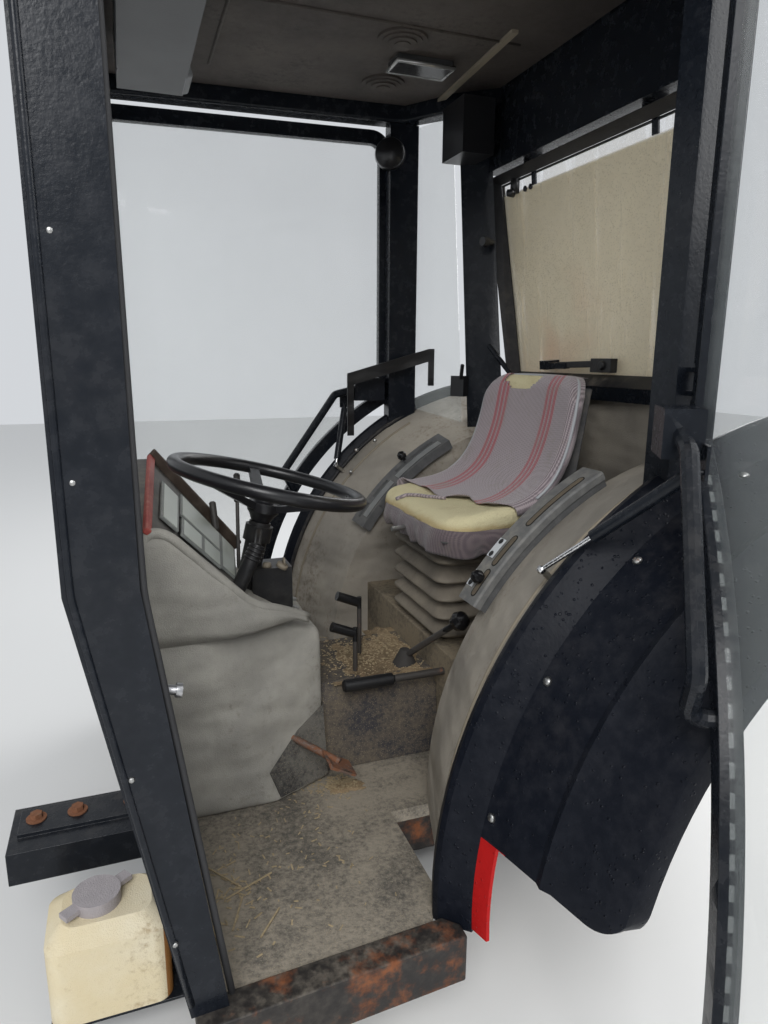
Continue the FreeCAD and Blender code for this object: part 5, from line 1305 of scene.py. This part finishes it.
@dataclass
class Seals:
    """Rubber round the glass and doors, pale edging, screws and rivets."""

    radius: float = 0.005

    def rear_window(self) -> None:
        """Rubber edge of the rear window, its latch block and rings."""
        lean = math.radians(5.7)
        hinge = Vector((-0.592, 0.0, 1.70))

        def spot(y: float, down: float, off: float = 0.0) -> Point:
            """Point on the leaning pane."""
            return (hinge.x - math.sin(lean) * down + off, y, hinge.z - math.cos(lean) * down)

        ring = [spot(0.434, 0.016), spot(0.369, 0.592), spot(-0.369, 0.592), spot(-0.434, 0.016)]
        tube("rear_window_seal", ring, self.radius, RUBBER, "rear_window", closed=True, bends=False)
        inner = [(-0.545, 0.452, 1.7), (-0.6, 0.368, 1.094), (-0.6, -0.368, 1.094), (-0.545, -0.452, 1.7)]
        outer = [(-0.5815, 0.424, 1.684), (-0.6385, 0.359, 1.123), (-0.6385, -0.359, 1.123),
                 (-0.5815, -0.424, 1.684)]
        mesh = bmesh.new()
        rows = [[mesh.verts.new(point) for point in line] for line in (inner, outer)]
        for index in range(4):
            after = (index + 1) % 4
            mesh.faces.new((rows[0][index], rows[0][after], rows[1][after], rows[1][index]))
        bmesh.ops.recalc_face_normals(mesh, faces=mesh.faces)
        item = piece("rear_rebate", mesh, DUSTY_BLACK, "root", smooth=False)
        finished(item, "SOLIDIFY", thickness=0.004, offset=0.0)
        grip = bmesh.new()
        block(grip, (-0.613, -0.02, 1.149), (0.014, 0.17, 0.017), Matrix.Rotation(0.03, 4, "X"))
        block(grip, (-0.617, 0.09, 1.148), (0.022, 0.085, 0.036))
        drum(grip, (-0.606, 0.1, 1.148), (1.0, 0.0, 0.0), 0.013, 0.008, 20, 0.01)
        bmesh.ops.recalc_face_normals(grip, faces=grip.faces)
        item = piece("window_grip", grip, COLUMN, "rear_window", smooth=False)
        finished(item, "BEVEL", width=0.002, segments=2, limit_method="ANGLE")
        mesh = bmesh.new()
        for y, down in ((-0.30, 0.02), (-0.27, 0.02)):
            drum(mesh, spot(y, down + 0.03, 0.003), (1.0, 0.0, 0.0), 0.008, 0.005, 20)
        block(mesh, spot(-0.345, 0.03, 0.012), (0.018, 0.022, 0.05))
        drum(mesh, spot(-0.345, 0.055, 0.018), (1.0, 0.0, 0.0), 0.012, 0.02, 20, 0.01)
        piece("window_catch", mesh, MOULDED, "rear_window")

    def doors(self) -> None:
        """Bulb seals along the front posts and the arch flanges, and the pale edging on the linings."""
        for side in Side:
            s = side.value
            name = side.name.lower()
            line = [(0.556, 0.742 * s, 1.878), (0.554, 0.742 * s, 0.9), (0.548, 0.742 * s, 0.84),
                    (0.465, 0.737 * s, 0.225)]
            tube(f"{name}_post_seal", line, 0.0055, RUBBER, "root")
            ridge = [(0.637, 0.7565 * s, 1.885), (0.637, 0.7565 * s, 0.9), (0.633, 0.7565 * s, 0.86),
                     (0.525, 0.7505 * s, 0.235)]
            tube(f"{name}_post_ridge", ridge, 0.005, BLACK, "root")
            reach = 0.8105
            arc = []
            for step in range(17):
                angle = math.radians(2.0 + 64.0 * step / 16)
                arc.append((AXLE[0] + reach * math.cos(angle), 0.650 * s, AXLE[1] + reach * math.sin(angle)))
            tube(f"{name}_arch_edging", arc, 0.0065, DUSTY_BLACK, "root")
            arc = []
            for step in range(15):
                angle = math.radians(6.0 + 56.0 * step / 14)
                far = 0.715 + 0.09 / 0.281 * (0.60 - 0.374) + 0.001
                arc.append((AXLE[0] + far * math.cos(angle), 0.60 * s, AXLE[1] + far * math.sin(angle)))
            tube(f"{name}_lining_piping", arc, 0.004, TRIM_BEIGE, "root")

    def screws(self) -> None:
        """Screws on the fenders, posts and rail, and the bolts on the front bracket."""
        mesh = bmesh.new()
        for side in Side:
            for degrees in (13.0, 31.0, 49.0, 67.0, 88.0):
                angle = math.radians(degrees)
                out = Vector((math.cos(angle), 0.25 * side.value, math.sin(angle)))
                at = (AXLE[0] + 0.7865 * out.x, 0.748 * side.value, AXLE[1] + 0.7865 * out.z)
                drum(mesh, at, tuple(out), 0.0085, 0.004, 16, 0.005)
        for x, z in ((-0.16, 0.862), (-0.225, 0.892), (-0.141, 0.79)):
            drum(mesh, (x, -0.577, z), (0.0, 1.0, 0.0), 0.007, 0.004, 16, 0.005)
        for z in (0.35, 0.62, 1.02, 1.3, 1.62, 1.84):
            shift = max(0.0, 0.88 - z) * 0.15
            for s in (1, -1):
                drum(mesh, (0.622 - shift, 0.754 * s, z), (0.0, float(s), 0.0), 0.005, 0.003, 12, 0.003)
        piece("screws", mesh, ZINC, "root")
        mesh = bmesh.new()
        for x, y in ((0.595, 0.262), (0.70, 0.262), (0.775, 0.262)):
            drum(mesh, (x, y, 0.2735), (0.0, 0.0, 1.0), 0.019, 0.003, 24)
            drum(mesh, (x, y, 0.2765), (0.0, 0.0, 1.0), 0.012, 0.01, 6)
        piece("bracket_bolts", mesh, RUSTY, "root", smooth=False)

    def build(self) -> None:
        """Make every seal, screw and bolt."""
        self.rear_window()
        self.doors()
        self.screws()


@dataclass
class Consoles:
    """Pale inlay strips and blank plates beside the lever gates."""

    near: float = 0.353
    crest: float = 0.7435
    face_r: float = 0.766
    slot_y: float = 0.398

    def arc_strip(self, side: Side, low: float, high: float, inner: float, outer: float,
                  mesh: bmesh.types.BMesh, off: float) -> None:
        """Add a strip that lies on a console.

        Args:
            side: Which console.
            low: First angle round the axle line, in degrees.
            high: Last angle.
            inner: Inner distance from the middle of the cab.
            outer: Outer distance.
            mesh: Mesh that takes it.
            off: Height over the console.
        """
        steps = max(2, int((high - low) / 1.5))
        slope = (0.0432) / 0.068
        rows = []
        for index in range(steps + 1):
            angle = math.radians(low + (high - low) * index / steps)
            row = []
            for y in (inner, outer):
                far = self.crest + slope * (y - self.near) * 0.28 + off
                row.append(mesh.verts.new((AXLE[0] + far * math.cos(angle), y * side.value,
                                           AXLE[1] + far * math.sin(angle))))
            rows.append(row)
        faces = [mesh.faces.new((a[0], a[1], b[1], b[0])) for a, b in zip(rows, rows[1:])]
        bmesh.ops.solidify(mesh, geom=faces, thickness=0.003)

    def build(self) -> None:
        """Make strips and plates."""
        mesh = bmesh.new()
        self.arc_strip(Side.RIGHT, 35.5, 46.0, 0.357, 0.382, mesh, 0.003)
        self.arc_strip(Side.RIGHT, 47.5, 61.0, 0.357, 0.382, mesh, 0.003)
        bmesh.ops.recalc_face_normals(mesh, faces=mesh.faces)
        piece("console_inlays", mesh, PALE_STRIP, "root", smooth=False)
        self.gate()

    def swung(self, mesh: bmesh.types.BMesh, section: list[tuple[float, float]], low: float, high: float) -> None:
        """Add a left-hand block whose section is swung round the axle line.

        Args:
            mesh: Mesh that takes it.
            section: Distance from the middle of the cab and from the axle line of each corner.
            low: First angle in degrees.
            high: Last angle.
        """
        ring = [mesh.verts.new((AXLE[0] + far * math.cos(math.radians(low)), y,
                                AXLE[1] + far * math.sin(math.radians(low)))) for y, far in section]
        face = mesh.faces.new(ring)
        bmesh.ops.spin(mesh, geom=[face], cent=(AXLE[0], 0.0, AXLE[1]), axis=(0, -1, 0),
                       angle=math.radians(high - low), steps=max(2, int((high - low) / 1.5)), use_merge=False)

    def slot(self, mesh: bmesh.types.BMesh, low: float, high: float, half: float, off: float) -> None:
        """Add a thin slab with round ends that marks a lever slot.

        Args:
            mesh: Mesh that takes it.
            low: First angle in degrees.
            high: Last angle.
            half: Half its width.
            off: Its height over the console face.
        """
        self.swung(mesh, [(self.slot_y - half, self.face_r), (self.slot_y + half, self.face_r),
                          (self.slot_y + half, self.face_r + off), (self.slot_y - half, self.face_r + off)], low, high)
        for degrees in (low, high):
            angle = math.radians(degrees)
            out = (math.cos(angle), 0.0, math.sin(angle))
            at = (AXLE[0] + self.face_r * out[0], self.slot_y, AXLE[1] + self.face_r * out[2])
            drum(mesh, at, out, half, off, 20)

    def gate(self) -> None:
        """Wide face of the left console with its slots, painted shadow along them, and the blank plates with rings
        beside them.
        """
        mesh = bmesh.new()
        self.swung(mesh, [(0.351, 0.742), (0.351, self.face_r - 0.004), (0.355, self.face_r), (0.421, self.face_r),
                          (0.425, self.face_r - 0.004), (0.425, 0.748)], 33.0, 63.0)
        bmesh.ops.recalc_face_normals(mesh, faces=mesh.faces)
        piece("console_face", mesh, CONSOLE_TOP, "root", smooth=False)
        # The near-black slab is painted shadow in each lever slot; the narrower slab over it is dust on the slot
        # floor.
        for name, finish, grow, off in (("slot_shadow_edges", SLOT_SHADOW, 0.0, 0.0006), ("slot_floors", SLOT_DUST, 0.003, 0.0009)):
            mesh = bmesh.new()
            for low, high in ((34.9, 38.6), (40.6, 45.4), (48.9, 60.0)):
                self.slot(mesh, low, high, 0.0095 - grow, off)
            bmesh.ops.recalc_face_normals(mesh, faces=mesh.faces)
            piece(name, mesh, finish, "root", smooth=False)
        mesh, rings = bmesh.new(), bmesh.new()
        for low, high in ((35.4, 38.2), (41.0, 44.6)):
            self.swung(mesh, [(0.357, self.face_r), (0.379, self.face_r), (0.379, self.face_r + 0.002),
                              (0.357, self.face_r + 0.002)], low, high)
            for degrees in (low + 0.55, high - 0.55):
                angle = math.radians(degrees)
                out = Vector((math.cos(angle), 0.0, math.sin(angle)))
                spot = Vector((AXLE[0], 0.368, AXLE[1])) + out * (self.face_r + 0.002)
                for radius, high_up in ((0.0068, 0.0006), (0.0028, 0.0014)):
                    drum(rings, tuple(spot), tuple(out), radius, high_up, 20)
        bmesh.ops.recalc_face_normals(mesh, faces=mesh.faces)
        piece("gate_plates", mesh, WHITE, "root", smooth=False)
        piece("gate_rings", rings, RUBBER, "root", smooth=False)


@dataclass
class Litter:
    """Straw and sawdust trodden into the floor."""

    seed: int = 7

    def straw(self) -> None:
        """Loose straw and wood chips on floor and tunnel."""
        rng = random.Random(self.seed)
        mesh = bmesh.new()
        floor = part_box("floor_pan")[1].z
        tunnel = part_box("tunnel")[1].z
        fields = ((620, 0.02, 0.0, 0.13, 0.15, tunnel, 0.0045), (220, -0.085, 0.0, 0.05, 0.18, tunnel, 0.0045),
                  (260, 0.15, 0.245, 0.07, 0.04, floor, 0.005), (110, 0.3, 0.42, 0.2, 0.22, floor, 0.008),
                  (60, 0.43, 0.52, 0.07, 0.16, floor, 0.014))
        for count, x, y, wide_x, wide_y, z, long in fields:
            for _ in range(count):
                spot = Vector((rng.gauss(x, wide_x * 0.5), rng.gauss(y, wide_y * 0.5), 0.0))
                spot.z = z + self.heap(spot.x, spot.y, z) + rng.uniform(0.0008, 0.002)
                if z == tunnel and not (-0.125 < spot.x < 0.15 and abs(spot.y) < 0.16):
                    continue
                if z == floor and not (0.11 < spot.x < 0.5 and 0.2 < spot.y < 0.69):
                    continue
                turn = Matrix.Rotation(rng.uniform(0, math.pi), 4, "Z") @ Matrix.Rotation(rng.uniform(-0.3, 0.3), 4, "Y")
                size = (long * rng.uniform(0.5, 1.6), 0.0024 * rng.uniform(0.6, 1.4), 0.0012)
                block(mesh, tuple(spot), size, turn)
        for x, y, angle, long in ((0.40, 0.5, 0.4, 0.1), (0.43, 0.56, 1.2, 0.08), (0.45, 0.45, 2.2, 0.12),
                                  (0.38, 0.6, 0.9, 0.07), (0.47, 0.62, 1.7, 0.09), (0.13, 0.2, 1.4, 0.06)):
            block(mesh, (x, y, floor + 0.004), (long, 0.003, 0.0018), Matrix.Rotation(angle, 4, "Z"))
        piece("straw", mesh, STRAW, "root", smooth=False)

    def heaps(self) -> list[tuple[float, float, float, float, float, float]]:
        """Middle, floor level, half sizes and height of each heap of sawdust."""
        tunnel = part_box("tunnel")[1].z
        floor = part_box("floor_pan")[1].z
        return [(0.02, 0.01, tunnel, 0.11, 0.135, 0.007), (-0.085, 0.0, tunnel, 0.045, 0.16, 0.013),
                (0.135, 0.255, floor, 0.05, 0.03, 0.01)]

    def rise(self, heap: tuple[float, float, float, float, float, float], u: float, v: float) -> float:
        """Height of a heap at shares of its half sizes."""
        x, y, z, _, _, high = heap
        wide = 1.0 + 0.5 * noise.noise((u * 1.7 + x * 9, v * 1.7, z)) + 0.25 * noise.noise((u * 6.0, v * 6.0 + y, z))
        return max(0.0, 1.0 - (math.hypot(u, v) / wide) ** 2) * high

    def heap(self, x: float, y: float, z: float) -> float:
        """Height of the sawdust over a point of the floor or tunnel."""
        found = [self.rise(h, (x - h[0]) / h[3], (y - h[1]) / h[4]) for h in self.heaps() if h[2] == z]
        return max(0.0, max(found, default=0.0) - 0.0022)

    def sawdust(self) -> None:
        """Low heaps of sawdust on the tunnel and beside it."""
        mesh = bmesh.new()
        for heap in self.heaps():
            before = set(mesh.verts)
            bmesh.ops.create_grid(mesh, x_segments=34, y_segments=34, size=1.0)
            for vert in [v for v in mesh.verts if v not in before]:
                u, v = vert.co.x, vert.co.y
                grain = 0.0014 * noise.noise((u * 22.0, v * 22.0, heap[2]))
                vert.co = (heap[0] + u * heap[3], heap[1] + v * heap[4],
                           heap[2] + self.rise(heap, u, v) + grain - 0.0022)
        piece("sawdust", mesh, SAWDUST, "root")

    def build(self) -> None:
        """Scatter straw and sawdust."""
        self.straw()
        self.sawdust()


@dataclass(frozen=True)
class Viewpoint:
    """Where the photograph was taken from, and how it looks."""

    place: Point = (0.560, 1.650, 1.168)
    focal_px: float = 706.4
    frame_px: float = 1024.0
    sensor: float = 36.0
    yaw: float = 20.19
    pitch: float = 12.44
    roll: float = -0.37

    def build(self) -> None:
        """Make the scene's camera."""
        data = bpy.data.cameras.new("camera")
        data.sensor_width = self.sensor
        data.lens = self.focal_px / self.frame_px * self.sensor
        data.clip_start = 0.02
        item = bpy.data.objects.new("camera", data)
        bpy.context.scene.collection.objects.link(item)
        yaw, pitch, roll = (math.radians(a) for a in (self.yaw, self.pitch, self.roll))
        ahead = Vector((-math.sin(yaw) * math.cos(pitch), -math.cos(yaw) * math.cos(pitch), -math.sin(pitch)))
        right = Vector((-math.cos(yaw), math.sin(yaw), 0.0))
        up = right.cross(ahead)
        right, up = (right * math.cos(roll) - up * math.sin(roll), up * math.cos(roll) + right * math.sin(roll))
        turn = Matrix((right, up, -ahead)).transposed()
        item.matrix_world = Matrix.Translation(self.place) @ turn.to_4x4()
        bpy.context.scene.camera = item


@dataclass
class Studio:
    """Pale floor, pale surroundings and soft lamps."""

    floor: Colour = (0.72, 0.72, 0.71)
    reach: float = 12.0
    drop: float = 0.02

    def floor_material(self) -> bpy.types.Material:
        """Matte pale floor."""
        graph = Graph("studio_floor")
        graph.set(Base_Color=self.floor, Roughness=0.85)
        return graph.material

    def lamp(self, name: str, at: Point, to: Point, size: float, watts: float) -> None:
        """Hang a soft square lamp.

        Args:
            name: Name of the lamp.
            at: Its place.
            to: The point that it shines on.
            size: Its side in metres.
            watts: Its power.
        """
        data = bpy.data.lights.new(name, "AREA")
        data.energy = watts
        data.size = size
        item = bpy.data.objects.new(name, data)
        item.location = at
        item.rotation_mode = "QUATERNION"
        item.rotation_quaternion = (Vector(to) - Vector(at)).to_track_quat("-Z", "Y")
        bpy.context.scene.collection.objects.link(item)

    def build(self) -> None:
        """Make floor, world and lamps."""
        mesh = bmesh.new()
        bmesh.ops.create_grid(mesh, x_segments=1, y_segments=1, size=self.reach,
                              matrix=Matrix.Translation((0, 0, CAD_BOX[0].z - self.drop)))
        data = bpy.data.meshes.new("floor")
        mesh.to_mesh(data)
        mesh.free()
        data.materials.append(self.floor_material())
        item = bpy.data.objects.new("floor", data)
        bpy.context.scene.collection.objects.link(item)
        world = bpy.data.worlds.new("surroundings")
        world.use_nodes = True
        world.node_tree.nodes["Background"].inputs["Color"].default_value = (0.86, 0.89, 0.93, 1.0)
        world.node_tree.nodes["Background"].inputs["Strength"].default_value = 0.75
        bpy.context.scene.world = world
        self.lamp("key", (1.5, 4.0, 3.6), (0.0, 0.3, 0.8), 2.4, 160.0)
        self.lamp("fill", (-3.0, 2.0, 3.0), (-0.4, 0.5, 0.7), 2.5, 70.0)
        self.lamp("rear", (-3.0, -2.5, 2.6), (0.0, 0.0, 1.0), 2.5, 90.0)
        bpy.context.scene.view_settings.view_transform = "Standard"


def main() -> None:
    """Build and dress every sub-assembly."""
    logging.basicConfig(level=logging.INFO, format="%(message)s")
    Viewpoint().build()
    Studio().build()
    for assembly in (Panels(), Seat(), Dash(), Roof(), Seals(), Consoles(), Litter()):
        assembly.build()
        LOG.info("built %s", type(assembly).__name__)


if __name__ == "__main__":
    main()
